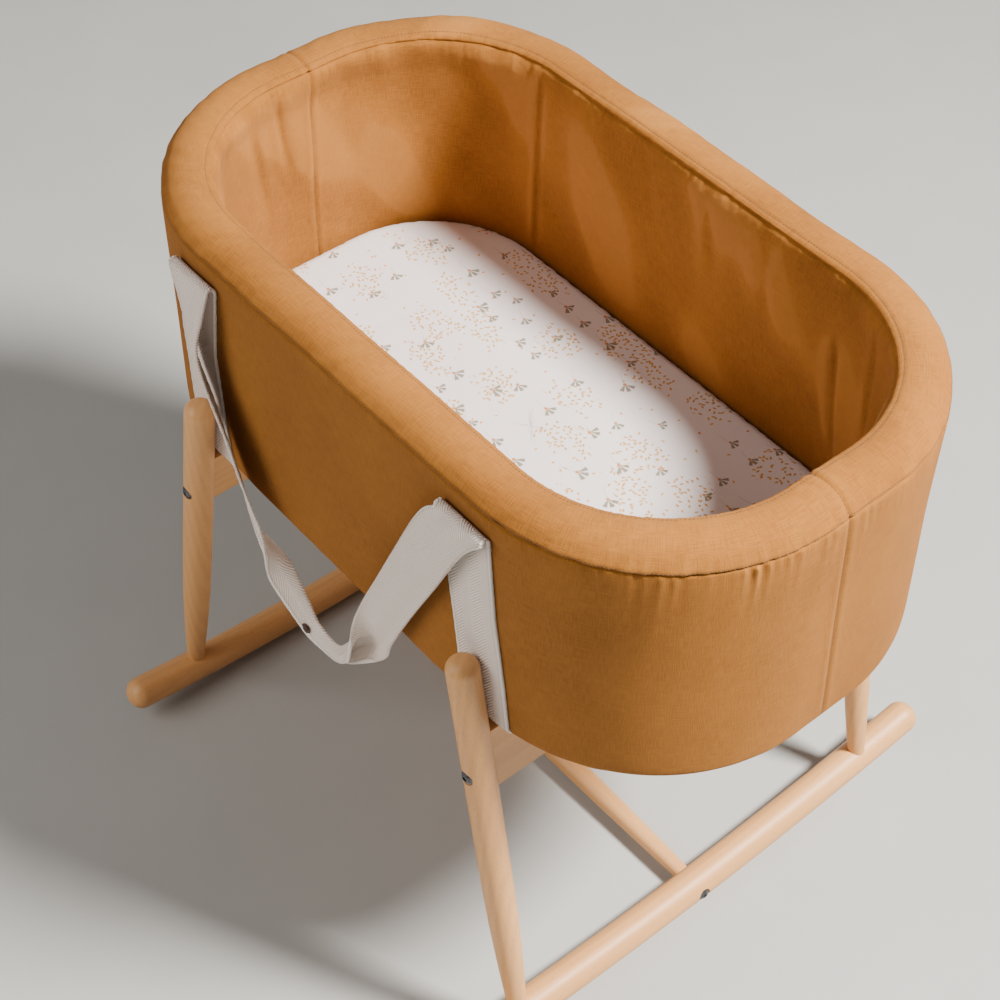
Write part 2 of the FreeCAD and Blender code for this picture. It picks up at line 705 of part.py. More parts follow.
def make_slings():
    """Webbing that runs down one wall, under the basket over a crossbar, and up the other wall."""
    sling = new_body("strap_sling_foot")
    half = f"({size('webbing_width')} / 2)"
    wall = f"({size('wall_half_width')} + {size('sling_wall_gap')})"
    under = f"({size('base_z')} - {size('sling_base_gap')})"
    low = f"({under} - {size('webbing_thickness')})"
    for side, start in (("front", wall), ("back", f"-({wall} + {size('webbing_thickness')})")):
        run = new_sketch(sling, side, "XZ_Plane", start)
        add_outline(run, [
            (f"{size('sling_foot_x')} - {half}", low),
            (f"{size('sling_foot_x')} + {half}", low),
            (f"{size('sling_top_x')} + {half}", size("sling_top_z")),
            (f"{size('sling_top_x')} - {half}", size("sling_top_z")),
        ])
        pad(sling, run, size("webbing_thickness"))
        if side == "front":
            strip = new_sketch(sling, "strip", "XY_Plane", low)
            add_outline(strip, [
                (f"{size('sling_foot_x')} - {half}", f"-({wall} + {size('webbing_thickness')})"),
                (f"{size('sling_foot_x')} + {half}", f"-({wall} + {size('webbing_thickness')})"),
                (f"{size('sling_foot_x')} + {half}", f"{wall} + {size('webbing_thickness')}"),
                (f"{size('sling_foot_x')} - {half}", f"{wall} + {size('webbing_thickness')}"),
            ])
            pad(sling, strip, size("webbing_thickness"))
    keep(sling)
    keep(mirrored(sling, "strap_sling_head", X_AXIS))


# The handle's outline on its own plane, as (x, z): the far arm, the grip that hangs lowest, the near arm.
HANDLE_OUTSIDE = [(-222, 700), (-181, 590), (-146, 372), (-104, 325), (-48, 317), (14, 336), (62, 386),
                  (140, 531), (222, 700)]
HANDLE_INSIDE = [(160, 700), (80, 531), (28, 404), (-6, 365), (-48, 350), (-88, 354), (-112, 384),
                 (-150, 590), (-160, 700)]
GRIP_OUTSIDE = [(-145, 366), (-104, 324.5), (-48, 316.5), (14, 335.5), (58, 380)]
GRIP_INSIDE = [(32, 409), (-6, 365.5), (-48, 350.5), (-88, 354.5), (-116, 392)]


def fixed_outline(sketch, points):
    add_outline(sketch, [(str(x), str(z)) for x, z in points])


def make_handles():
    """Webbing handles, hanging from a fold at each end, with a thicker grip and its snap."""
    handle = new_body("handle_front")
    arm_plane = f"({size('fold_y')} + {size('fold_radius')} - {size('webbing_thickness')} - 0.3)"
    outline = new_sketch(handle, "outline", "XZ_Plane", arm_plane)
    fixed_outline(outline, HANDLE_OUTSIDE + HANDLE_INSIDE)
    pad(handle, outline, size("webbing_thickness"))
    grip_plane = f"({size('fold_y')} + {size('fold_radius')} + {size('webbing_thickness')} / 2)"
    grip = new_sketch(handle, "grip", "XZ_Plane", f"{grip_plane} - {size('grip_thickness')}")
    fixed_outline(grip, GRIP_OUTSIDE + GRIP_INSIDE)
    pad(handle, grip, size("grip_thickness"))
    for name, low, high in (("far", -222, -160), ("near", 160, 222)):
        fold = new_sketch(handle, f"{name}_fold", "YZ_Plane", str(low))
        add_circle(fold, f"-{size('fold_y')}", size("fold_z"), size("fold_radius"))
        pad(handle, fold, str(high - low))
    hole = new_sketch(handle, "snap_hole", "XZ_Plane", f"{grip_plane} + 1")
    add_circle(hole, size("snap_x"), size("snap_z"), f"{size('snap_post_radius')} + {size('glue_gap')}")
    pocket(handle, hole, f"{size('grip_thickness')} + 2")
    keep(handle)
    keep(mirrored(handle, "handle_back", Y_AXIS))
    snap = new_body("handle_front_snap")
    profile = new_sketch(snap, "profile", "XZ_Plane")
    room = size("glue_gap")
    back = f"({size('grip_thickness')} + {room})"
    add_outline(profile, [
        ("0", f"-({back} + {size('snap_height')})"),
        (f"{size('snap_radius')} - 0.6", f"-({back} + {size('snap_height')})"),
        (f"{size('snap_radius')} - 0.6", f"-{back}"),
        (size("snap_post_radius"), f"-{back}"),
        (size("snap_post_radius"), room),
        (size("snap_radius"), room),
        (f"{size('snap_radius')} - 0.8", size("snap_height")),
        ("0", size("snap_height")),
    ])
    revolve(snap, profile)
    place(snap, x=size("snap_x"), y=f"-{grip_plane}", z=size("snap_z"), axis=X_AXIS, angle="90deg")
    keep(snap)
    keep(mirrored(snap, "handle_back_snap", Y_AXIS))


# ---- build, check and write ----------------------------------------------------------------------

make_rockers()
make_legs()
make_crossbars()
make_stretcher()
make_fasteners()
make_walls()
make_rim()
make_mattress()
make_slings()
make_handles()
doc.recompute()

for item in doc.Objects:
    if "Invalid" in item.State or "Error" in item.State:
        raise RuntimeError(f"{item.Label} failed: {item.State}")
for item in nodes:
    if item.Shape.isNull() or not item.Shape.isValid():
        raise RuntimeError(f"{item.Label} has no valid shape")

os.makedirs("parts", exist_ok=True)
for item in nodes:
    item.Shape.exportStep(f"parts/{item.Label}.step")
    print(item.Label, len(item.Shape.Solids), round(item.Shape.Volume / 1000, 2), "cm3")
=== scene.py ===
import math

import bmesh
import bpy
import numpy as np
from mathutils import Matrix, Vector


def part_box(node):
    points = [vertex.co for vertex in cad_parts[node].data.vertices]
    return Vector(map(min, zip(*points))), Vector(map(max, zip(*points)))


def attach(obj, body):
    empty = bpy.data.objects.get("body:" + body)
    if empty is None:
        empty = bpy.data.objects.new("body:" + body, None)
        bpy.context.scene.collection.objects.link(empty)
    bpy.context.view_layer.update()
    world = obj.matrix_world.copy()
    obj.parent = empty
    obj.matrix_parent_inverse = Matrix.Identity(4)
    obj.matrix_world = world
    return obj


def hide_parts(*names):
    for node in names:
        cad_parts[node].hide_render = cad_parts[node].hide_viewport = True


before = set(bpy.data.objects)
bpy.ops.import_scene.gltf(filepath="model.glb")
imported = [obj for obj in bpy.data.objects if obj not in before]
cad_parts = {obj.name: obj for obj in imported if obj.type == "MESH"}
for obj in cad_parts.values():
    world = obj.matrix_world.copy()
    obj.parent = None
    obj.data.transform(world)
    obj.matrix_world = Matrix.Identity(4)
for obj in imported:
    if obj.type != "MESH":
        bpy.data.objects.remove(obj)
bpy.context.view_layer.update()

MM = 0.001

# ---------------------------------------------------------------- camera (comes first)


def make_camera():
    azimuth, elevation, roll = (math.radians(a) for a in (49.089, 47.484, 1.349))
    back = Vector((math.sin(azimuth) * math.cos(elevation),
                   -math.cos(azimuth) * math.cos(elevation), math.sin(elevation)))
    right = (-back).cross(Vector((0, 0, 1))).normalized()
    up = right.cross(-back)
    turned_right = right * math.cos(roll) + up * math.sin(roll)
    turned_up = up * math.cos(roll) - right * math.sin(roll)
    data = bpy.data.cameras.new("camera")
    data.lens, data.sensor_width = 70.126, 36
    camera = bpy.data.objects.new("camera", data)
    turn = Matrix((turned_right, turned_up, back)).transposed()
    camera.matrix_world = Matrix.Translation((1.0232, -0.9258, 1.9019)) @ turn.to_4x4()
    bpy.context.scene.collection.objects.link(camera)
    bpy.context.scene.camera = camera


make_camera()

# ---------------------------------------------------------------- the basket's outline

RIM_LOW, RIM_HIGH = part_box("rim_cover_front")[0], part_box("rim_cover_front")[1]
HALF_X = RIM_HIGH.x - 0.010      # reference outline: the rim's box, 10 mm in
HALF_Y = -RIM_LOW.y - 0.010
CORNER = 0.198
SIDE, END, ARC = HALF_X - CORNER, HALF_Y - CORNER, CORNER * math.pi / 2
ROUND = 4 * (SIDE + END + ARC)
_S = np.cumsum([0, END, ARC, 2 * SIDE, ARC, 2 * END, ARC, 2 * SIDE, ARC, END])
_CX = np.array([1, 1, 1, -1, -1, -1, -1, 1, 1, 1]) * SIDE
_CY = np.array([0, 1, 1, 1, 1, -1, -1, -1, -1, 0]) * END
_TH = np.array([0, 0, 1, 1, 2, 2, 3, 3, 4, 4]) * math.pi / 2


def outline(s, u):
    """Points at distance s round the outline, anticlockwise from the middle of the +X end,
    and u outside it; and the outward normal there."""
    s = np.mod(s, ROUND)
    th = np.interp(s, _S, _TH)
    nx, ny = np.cos(th), np.sin(th)
    return (np.interp(s, _S, _CX) + (CORNER + u) * nx,
            np.interp(s, _S, _CY) + (CORNER + u) * ny, nx, ny)


def spline_weights(count, spans):
    """Weights of the control points on each row of a Catmull-Rom spline; spans says how many
    rows each stretch between two control points has."""
    rows = []
    for i, n in enumerate(spans):
        last = i == len(spans) - 1
        for k in range(n + (1 if last else 0)):
            t = k / n
            w = np.zeros(count)
            for j, c in zip((i - 1, i, i + 1, i + 2),
                            (-t + 2 * t * t - t ** 3, 2 - 5 * t * t + 3 * t ** 3,
                             t + 4 * t * t - 3 * t ** 3, -t * t + t ** 3)):
                w[min(max(j, 0), count - 1)] += c / 2
            rows.append(w)
    return np.array(rows)


def spans_for(points, step):
    d = np.linalg.norm(np.diff(np.array(points, float), axis=0), axis=1)
    return [max(1, int(math.ceil(x / step))) for x in d]


def waves(x, seed, low, high, count=9):
    """A smooth random wave along x, about -1 to 1, with wavelengths from low to high, that
    closes round the outline."""
    rng = np.random.default_rng(seed)
    turns = np.round(ROUND / rng.uniform(low, high, count))
    phase = rng.uniform(0, 2 * math.pi, count)
    size = rng.uniform(0.6, 1.4, count)
    return sum(a * np.sin(2 * math.pi * k * x / ROUND + p)
               for a, k, p in zip(size, turns, phase)) / math.sqrt(count / 2)


def bump(x, centre, width):
    return np.exp(-((x - centre) / width) ** 2)


def near(s, at, width):
    """1 at distance `at` round the outline, falling off to both sides."""
    d = np.mod(s - at + ROUND / 2, ROUND) - ROUND / 2
    return np.exp(-(d / width) ** 2)


def smoothstep(x, a, b):
    t = np.clip((x - a) / (b - a), 0, 1)
    return t * t * (3 - 2 * t)


# ---------------------------------------------------------------- meshes


def new_mesh(name, points, faces, uv=None, smooth=True, crest=None, weld=False):
    mesh = bpy.data.meshes.new(name)
    mesh.from_pydata([], [], [])
    points = np.asarray(points, np.float32).reshape(-1, 3)
    faces = np.asarray(faces, np.int32)
    size = faces.shape[1]
    mesh.vertices.add(len(points))
    mesh.vertices.foreach_set("co", points.ravel())
    mesh.loops.add(faces.size)
    mesh.loops.foreach_set("vertex_index", faces.ravel())
    mesh.polygons.add(len(faces))
    mesh.polygons.foreach_set("loop_start", np.arange(0, faces.size, size, dtype=np.int32))
    mesh.polygons.foreach_set("loop_total", np.full(len(faces), size, np.int32))
    mesh.update(calc_edges=True)
    if uv is not None:
        layer = mesh.uv_layers.new(name="metres")
        layer.data.foreach_set("uv", np.asarray(uv, np.float32)[faces.ravel()].ravel())
    if crest is not None:
        layer = mesh.attributes.new("crest", "FLOAT", "POINT")
        layer.data.foreach_set("value", np.asarray(crest, np.float32).ravel())
    if weld:
        work = bmesh.new()
        work.from_mesh(mesh)
        bmesh.ops.remove_doubles(work, verts=work.verts, dist=0.01 * MM)
        work.to_mesh(mesh)
        work.free()
    mesh.validate()
    mesh.polygons.foreach_set("use_smooth", np.full(len(mesh.polygons), smooth))
    piece = bpy.data.objects.new(name, mesh)
    bpy.context.scene.collection.objects.link(piece)
    return piece


def grid_faces(rows, cols, closed_cols=False, closed_rows=False, flip=False):
    r = np.arange(rows if closed_rows else rows - 1)
    c = np.arange(cols if closed_cols else cols - 1)
    i, j = np.meshgrid(r, c, indexing="ij")
    i2, j2 = (i + 1) % rows, (j + 1) % cols
    quads = np.stack([i * cols + j, i * cols + j2, i2 * cols + j2, i2 * cols + j], -1)
    quads = quads.reshape(-1, 4)
    return quads[:, ::-1] if flip else quads


def grid_normals(p, outward):
    du = np.gradient(p, axis=1)
    dv = np.gradient(p, axis=0)
    n = np.cross(du, dv)
    n /= np.maximum(np.linalg.norm(n, axis=2, keepdims=True), 1e-12)
    return n * outward


def band(name, half, ends, sides, step, relief, seams, flip):
    """A panel that follows one half of the basket's outline. ends and sides are its section
    (u, z) at the ends and the long sides; relief(s, v, z, nx) is how far it stands proud of
    that section; v is the distance down the section. seams gives where its two ends are."""
    ends, sides = np.array(ends, float), np.array(sides, float)
    w = spline_weights(len(ends), spans_for((ends + sides) / 2, step))
    e, d = w @ ends, w @ sides
    cols = int(ROUND / 2 / (1.5 * MM))
    t = np.linspace(0, 1, cols)
    z_mid = (e[:, 1] + d[:, 1]) / 2
    first, last = seams(z_mid)
    s = first[:, None] + (last - first)[:, None] * t[None, :]
    _, _, nx, _ = outline(s, 0)
    mix = np.abs(nx) ** 1.3
    u = mix * e[:, 0:1] + (1 - mix) * d[:, 0:1]
    z = mix * e[:, 1:2] + (1 - mix) * d[:, 1:2]
    u, z = half(s, u, z, nx)
    x, y, _, _ = outline(s, u)
    p = np.stack([x, y, z], -1)
    length = np.concatenate([[0], np.cumsum(np.hypot(*np.diff((e + d) / 2, axis=0).T))])
    v = np.broadcast_to(length[:, None], s.shape)
    n = grid_normals(p, 1 if not flip else -1)
    lift = relief(s, v, z, nx, t[None, :] + 0 * s)
    p = p + n * lift[..., None]
    uv = np.stack([s, v], -1).reshape(-1, 2)
    # crest is the relief height; the canvas material turns it into painted shade in the hollows and painted
    # highlight on the crests
    crest = np.clip(0.5 + lift / (3 * MM), 0, 1)
    return new_mesh(name, p, grid_faces(*s.shape, flip=flip), uv, crest=crest), p


OVERLAP = 0.6 * MM


# Where the end seams run: the near one leans towards the front at its top.
def seam_lean(z):
    return -0.012 * np.clip((z - 0.45) / 0.28, 0, 1)


def back_seams(z):
    return seam_lean(z) - OVERLAP, np.full_like(z, ROUND / 2 + OVERLAP)


def front_seams(z):
    return np.full_like(z, ROUND / 2), ROUND + seam_lean(z)


def seam_groove(t, s):
    """A seam's shallow groove at both ends of a panel."""
    d = np.minimum(t, 1 - t) * ROUND / 2
    return -1.1 * MM * np.exp(-(d / (2.2 * MM)) ** 2) + 0.45 * MM * np.exp(-((d - 6 * MM) / (3.5 * MM)) ** 2)


# ---------------------------------------------------------------- rim

RIM_SECTION = [(-.0395, .7375), (-.0405, .7400), (-.0350, .7440), (-.0220, .7465), (-.0100, .7450),
               (-.0005, .7402), (.0055, .7342), (.0084, .7304), (.0088, .7278), (.0068, .7264)]
RIM_LENGTH = float(np.hypot(*np.diff(np.array(RIM_SECTION), axis=0).T).sum())


def keep_shape(s, u, z, nx):
    return u, z


def pull_places(s):
    """Where the outer seam's puckers are strongest: the near front corner, and a little all
    round the ends."""
    corner = near(s, ROUND - 0.115, 0.11)
    return 0.16 + 1.0 * corner + 0.22 * near(s, 0.10, 0.12) + 0.15 * near(s, ROUND / 2, 0.25)


def rim_relief(s, v, z, nx, t):
    inner = np.exp(-(v / (11 * MM)))
    outer = np.exp(-((RIM_LENGTH - v) / (13 * MM)))
    soft = waves(s + 0.6 * v, 3, 0.10, 0.45) * 0.55 * MM
    fine = waves(s, 4, 0.009, 0.016) * (0.12 * MM * inner + 0.17 * MM * outer * pull_places(s))
    drag = waves(s + 0.8 * v, 5, 0.022, 0.05) * 0.22 * MM * (0.4 + outer)
    stitch_row = -0.55 * MM * bump(v, 9.5 * MM, 1.4 * MM)
    return soft * np.minimum(1, v / (8 * MM)) + fine + drag + stitch_row + seam_groove(t, s)


# ---------------------------------------------------------------- outer panels

LEG_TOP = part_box("leg_front_foot")[1].z


def strap_centre(z, x=1):
    """How far from the middle a strap's centre line is: the head's straps lie a little further out."""
    foot = np.interp(z, [0.453, 0.515, 0.602, 0.700, 0.72], [0.216, 0.209, 0.197, 0.190, 0.190])
    head = np.interp(z, [0.453, 0.515, 0.602, 0.700, 0.72], [0.216, 0.222, 0.224, 0.207, 0.205])
    return np.where(x > 0, foot, head)


PANEL_ENDS = [(.0068, .7264), (.0088, .7250), (.0100, .7180), (.0112, .6900), (.0125, .6000), (.0160, .5000),
              (.0168, .4640), (.0150, .4545), (.0100, .4500), (.0020, .4500), (-.010, .4535), (-.016, .4550)]
PANEL_SIDES = [(.0068, .7264), (.0086, .7250), (.0093, .7180), (.0085, .6900), (.0070, .6000), (.0058, .5000),
               (.0055, .4680), (.0052, .4600), (.0041, .4558), (-.004, .4554), (-.012, .4555), (-.016, .4557)]
PANEL_LENGTH = float(np.hypot(*np.diff(np.array(PANEL_ENDS), axis=0).T).sum())


def press_panel(s, u, z, nx):
    """The panel is pulled flat under the straps and beside the legs."""
    x, _, _, ny = outline(s, 0)
    ax = np.abs(x)
    under = 1 - smoothstep(np.abs(ax - strap_centre(z, x)), 0.031, 0.075)
    limit = np.interp(z, [0.45, 0.56, 0.66, 0.70, 0.722], [0.0034, 0.0036, 0.0052, 0.0058, 0.0095])
    pressed = np.minimum(u, limit + 0.0125 * np.abs(nx))
    return u + (pressed - u) * under * (np.abs(ny) > 0.3), z


def panel_relief(s, v, z, nx, t):
    pull = pull_places(s)
    reach = np.clip(17 + 7 * waves(s, 21, 0.03, 0.09), 8, 32) * MM
    folds = waves(s + 0.05 * waves(v + s, 22, 0.2, 0.4) * 0.02, 23, 0.0085, 0.015, 12)
    folds = np.where(folds > 0, folds, 0.55 * folds)
    puckers = (folds * (0.62 + 0.38 * waves(s, 28, 0.04, 0.10)) * 0.66 * MM * pull
               * np.exp(-np.maximum(v - 2 * MM, 0) / reach) * smoothstep(v, 0, 5 * MM))
    long = waves(s + 0.12 * v, 24, 0.028, 0.06) * 0.5 * MM * pull * np.exp(-v / 0.06)
    soft = waves(s + 0.5 * v, 25, 0.18, 0.6) * 0.35 * MM
    x, _, _, ny = outline(s, 0)
    under = (1 - smoothstep(np.abs(np.abs(x) - strap_centre(z, x)), 0.033, 0.06)) * (np.abs(ny) > 0.3)
    bottom = waves(s, 27, 0.03, 0.08) * 0.15 * MM * bump(z, 0.456, 0.012)
    lift = (puckers + long + bottom + soft * smoothstep(v, 0, 0.02)) * (1 - 0.92 * under) + seam_groove(t, s)
    # nothing is pressed in at the bottom turn, where the hidden board lies close underneath
    turn = smoothstep(v, PANEL_LENGTH - 0.055, PANEL_LENGTH - 0.030)
    return np.where(lift < 0, lift * (1 - turn), lift)


# ---------------------------------------------------------------- lining

LINING_ENDS = [(-.0395, .7375), (-.0425, .7345), (-.0440, .7290), (-.0440, .7220), (-.0418, .7120),
               (-.0385, .6950), (-.0375, .6500), (-.0375, .5700), (-.0378, .5100), (-.0370, .4720)]
LINING_SIDES = [(-.0395, .7375), (-.0425, .7345), (-.0442, .7290), (-.0448, .7220), (-.0452, .7120),
                (-.0460, .6950), (-.0468, .6500), (-.0470, .5700), (-.0470, .5100), (-.0462, .4720)]


def crease(s, v, top, bottom, at_top, at_bottom, depth, width):
    """A long fold down the lining, between two heights (v) and two places (s)."""
    k = np.clip((v - top) / (bottom - top), 0, 1)
    line = at_top + (at_bottom - at_top) * k
    d = np.mod(s - line + ROUND / 2, ROUND) - ROUND / 2
    fade = smoothstep(v, top - 0.02, top + 0.02) * (1 - smoothstep(v, bottom - 0.03, bottom + 0.02))
    return fade * depth * (-np.exp(-(d / width) ** 2)
                           + 0.55 * np.exp(-((d - 2.0 * width) / (1.5 * width)) ** 2)
                           + 0.35 * np.exp(-((d + 2.1 * width) / (1.6 * width)) ** 2))


def side_back(x):
    """Distance round the outline of a place x on the back side."""
    return END + ARC + (SIDE - x)


def lining_relief(s, v, z, nx, t):
    fine = waves(s, 31, 0.009, 0.020) * 0.20 * MM * np.exp(-v / (14 * MM)) * smoothstep(v, 0, 4 * MM)
    drag = waves(s + 0.15 * v, 32, 0.028, 0.075) * 0.35 * MM * np.exp(-v / 0.06)
    soft = waves(s + 0.2 * v, 33, 0.06, 0.25) * 1.0 * MM + waves(s + 1.3 * v, 34, 0.12, 0.4) * 0.8 * MM
    folds = (crease(s, v, 0.015, 0.24, side_back(-0.216), side_back(-0.216), 2.8 * MM, 5 * MM)
             + crease(s, v, 0.010, 0.10, side_back(0.030), side_back(0.050), 1.5 * MM, 7 * MM)
             + crease(s, v, 0.010, 0.09, side_back(-0.060), side_back(-0.040), 1.1 * MM, 8 * MM)
             + crease(s, v, 0.010, 0.12, side_back(0.110), side_back(0.125), 1.2 * MM, 9 * MM)
             + crease(s, v, 0.075, 0.20, END + ARC - 0.020, END + ARC - 0.048, 3.2 * MM, 7 * MM)
             + crease(s, v, 0.025, 0.15, END + ARC - 0.085, END + ARC - 0.105, 2.0 * MM, 6 * MM)
             + crease(s, v, 0.020, 0.12, ROUND / 2 + 0.045, ROUND / 2 + 0.028, 1.6 * MM, 6 * MM)
             + crease(s, v, 0.050, 0.17, ROUND / 2 + 0.085, ROUND / 2 + 0.066, 1.8 * MM, 7 * MM)
             + crease(s, v, 0.020, 0.15, ROUND / 2 + 0.150, ROUND / 2 + 0.170, 1.2 * MM, 9 * MM))
    fade = 1 - smoothstep(v, 0.20, 0.262)
    return fine + drag + (soft * smoothstep(v, 0, 0.02) + folds) * fade + seam_groove(t, s)


def make_walls():
    made = {}
    for side, seams in (("front", front_seams), ("back", back_seams)):
        made["rim_" + side] = band("rim_band_" + side, keep_shape, RIM_SECTION, RIM_SECTION, 1.6 * MM,
                                   rim_relief, seams, True)
        made["panel_" + side] = band("outer_panel_" + side, press_panel, PANEL_ENDS, PANEL_SIDES, 2.6 * MM,
                                     panel_relief, seams, True)
        made["lining_" + side] = band("inner_lining_" + side, keep_shape, LINING_ENDS, LINING_SIDES, 2.6 * MM,
                                      lining_relief, seams, False)
    return made


walls = make_walls()


def make_base():
    """The fabric panel under the basket, gathered into a flat seam with the outer panels."""
    cols, rows = 560, 40
    s = np.linspace(0, ROUND, cols, endpoint=False)
    share = np.linspace(1, 0, rows) ** 0.8
    x, y, nx, _ = outline(s, -0.0155)
    edge_z = 0.4560 - 0.0010 * nx * nx
    z = 0.4561 + (edge_z - 0.4561)[None, :] * share[:, None] ** 12
    ripple = waves(s, 41, 0.012, 0.03)[None, :] * 0.25 * MM * share[:, None] ** 8
    p = np.stack([x[None, :] * share[:, None], y[None, :] * share[:, None], z + ripple], -1)
    p[-1, :, 2] = z[-1].mean()
    uv = np.stack([p[..., 0], p[..., 1]], -1).reshape(-1, 2)
    return new_mesh("base_panel", p, grid_faces(rows, cols, closed_cols=True), uv,
                    crest=np.full(rows * cols, 0.5), weld=True)


base_panel = make_base()

# ---------------------------------------------------------------- mattress and fitted sheet

MAT_LOW, MAT_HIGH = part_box("fitted_sheet")
MAT_CORNER = 0.1430


def soft_slab(name, half_x, half_y, corner, section, relief=None, closed=True, step=4 * MM):
    """A rounded slab: section is (how far inside its outline, z) from its top's middle rim
    over the edge to its underside; its top and bottom are filled with shrinking rings."""
    sx, ey, arc = half_x - corner, half_y - corner, corner * math.pi / 2
    total = 4 * (sx + ey + arc)
    cols = int(total / step)
    s = np.linspace(0, total, cols, endpoint=False)
    marks = np.cumsum([0, ey, arc, 2 * sx, arc, 2 * ey, arc, 2 * sx, arc, ey])
    th = np.interp(s, marks, _TH)
    cx = np.interp(s, marks, np.array([1, 1, 1, -1, -1, -1, -1, 1, 1, 1]) * sx)
    cy = np.interp(s, marks, np.array([0, 1, 1, 1, 1, -1, -1, -1, -1, 0]) * ey)
    nx, ny = np.cos(th), np.sin(th)
    section = np.array(section, float)
    w = spline_weights(len(section), spans_for(section, 2 * MM))
    inside, z = (w @ section).T
    rings, unrolled = [], []
    top_z, first = section[0][1], inside[0]
    travel = np.concatenate([[0], np.cumsum(np.hypot(np.diff(inside), np.diff(z)))])
    for k in np.linspace(0, 1, 46)[:-1]:            # from the middle of the top out to the section
        x = (cx + (corner - first) * nx) * k
        y = (cy + (corner - first) * ny) * k
        rings.append(np.stack([x, y, np.full(cols, top_z + CROWN * (1 - k ** 2.2))], -1))
        unrolled.append(np.stack([x, y], -1))
    for i, zz, far in zip(inside, z, travel):
        rings.append(np.stack([cx + (corner - i) * nx, cy + (corner - i) * ny, np.full(cols, zz)], -1))
        reach = corner - first + far
        unrolled.append(np.stack([cx + reach * nx, cy + reach * ny], -1))
    if closed:
        last = inside[-1]
        for k in np.linspace(1, 0, 24)[1:]:
            rings.append(np.stack([(cx + (corner - last) * nx) * k, (cy + (corner - last) * ny) * k,
                                   np.full(cols, z[-1])], -1))
            unrolled.append(rings[-1][:, :2])
    p = np.array(rings)
    if relief is not None:
        p[..., 2] += relief(p[..., 0], p[..., 1]) * (p[..., 2] > top_z - 2 * MM)
        flat = np.mod(s, ROUND)
        rim = np.exp(-((p[..., 2] - (top_z - 8 * MM)) / (9 * MM)) ** 2)
        gather = waves(flat, 52, 0.010, 0.03)[None, :] * 0.35 * MM * rim
        p[..., 0] += gather * nx[None, :]
        p[..., 1] += gather * ny[None, :]
    uv = np.array(unrolled).reshape(-1, 2)
    return new_mesh(name, p, grid_faces(len(rings), cols, closed_cols=True, flip=True), uv,
                    weld=True)


CROWN = 2.2 * MM
MAT_X, MAT_Y = 0.3560, 0.1832
MAT_TOP = MAT_HIGH.z - 2.6 * MM


def sheet_relief(x, y):
    """Faint folds left from ironing and a little slack along the edges."""
    fold = -0.5 * MM * np.exp(-((x + 0.215 + 0.02 * y) / 0.004) ** 2) * smoothstep(y, -0.09, -0.03)
    return (fold + 0.45 * MM * np.sin(9 * x + 14 * y + 1.1) * np.sin(21 * y - 6 * x)
            + 0.30 * MM * np.sin(31 * x - 9 * y) * np.sin(17 * x + 26 * y + 0.6))


mattress_core = soft_slab(
    "mattress_foam", MAT_X - 2.2 * MM, MAT_Y - 2.2 * MM, MAT_CORNER - 2.2 * MM,
    [(0.022, MAT_TOP - 2.2 * MM), (0.010, MAT_TOP - 3.4 * MM), (0.003, MAT_TOP - 8 * MM),
     (0, MAT_TOP - 16 * MM), (0, MAT_LOW.z + 14 * MM), (0.003, MAT_LOW.z + 6 * MM),
     (0.010, MAT_LOW.z + 2.4 * MM), (0.022, MAT_LOW.z + 1.6 * MM)])
fitted_sheet = soft_slab(
    "fitted_sheet_cloth", MAT_X, MAT_Y, MAT_CORNER,
    [(0.022, MAT_TOP), (0.010, MAT_TOP - 1.2 * MM), (0.003, MAT_TOP - 6 * MM), (0, MAT_TOP - 14 * MM),
     (0, MAT_LOW.z + 12 * MM), (0.003, MAT_LOW.z + 4 * MM), (0.010, MAT_LOW.z + 0.7 * MM),
     (0.024, MAT_LOW.z + 0.3 * MM), (0.040, MAT_LOW.z + 0.5 * MM)], relief=sheet_relief, closed=False)

# ---------------------------------------------------------------- webbing

WEB_HALF = 0.0011


def ribbon(name, centre):
    """Webbing with corded edges along centre[station, across, xyz]."""
    rows, cols, _ = centre.shape
    n = grid_normals(centre, 1)
    length = np.concatenate([[0], np.cumsum(np.linalg.norm(np.diff(centre[:, cols // 2], axis=0), axis=1))])
    across = np.linalg.norm(np.diff(centre, axis=1), axis=2)
    w = np.concatenate([np.zeros((rows, 1)), np.cumsum(across, axis=1)], axis=1)
    w = w - w[:, -1:] / 2
    edge = np.linspace(-1, 1, cols)
    d = (1 - np.abs(edge)) * 0.031
    cord = WEB_HALF * (1 + 0.65 * bump(d, 1.4 * MM, 1.1 * MM) - 0.35 * bump(d, 3.6 * MM, 1.0 * MM))
    twist = np.sin(length[:, None] * 2 * math.pi / (2.6 * MM))
    ribs = 1 + 0.20 * twist * bump(d, 1.2 * MM, 1.5 * MM)[None, :]
    thick = cord[None, :] * ribs
    top, low = centre + n * thick[..., None], centre - n * thick[..., None]
    uv = np.stack([w, np.broadcast_to(length[:, None], w.shape)], -1)
    loop = np.concatenate([top, low[:, ::-1]], axis=1)
    uvs = np.concatenate([uv, uv[:, ::-1]], axis=1).reshape(-1, 2)
    faces = grid_faces(rows, 2 * cols, closed_cols=True)
    piece = new_mesh(name, loop, faces, uvs)
    mesh = bmesh.new()
    mesh.from_mesh(piece.data)
    bmesh.ops.holes_fill(mesh, edges=[e for e in mesh.edges if e.is_boundary], sides=0)
    bmesh.ops.recalc_face_normals(mesh, faces=mesh.faces)
    mesh.to_mesh(piece.data)
    mesh.free()
    return piece


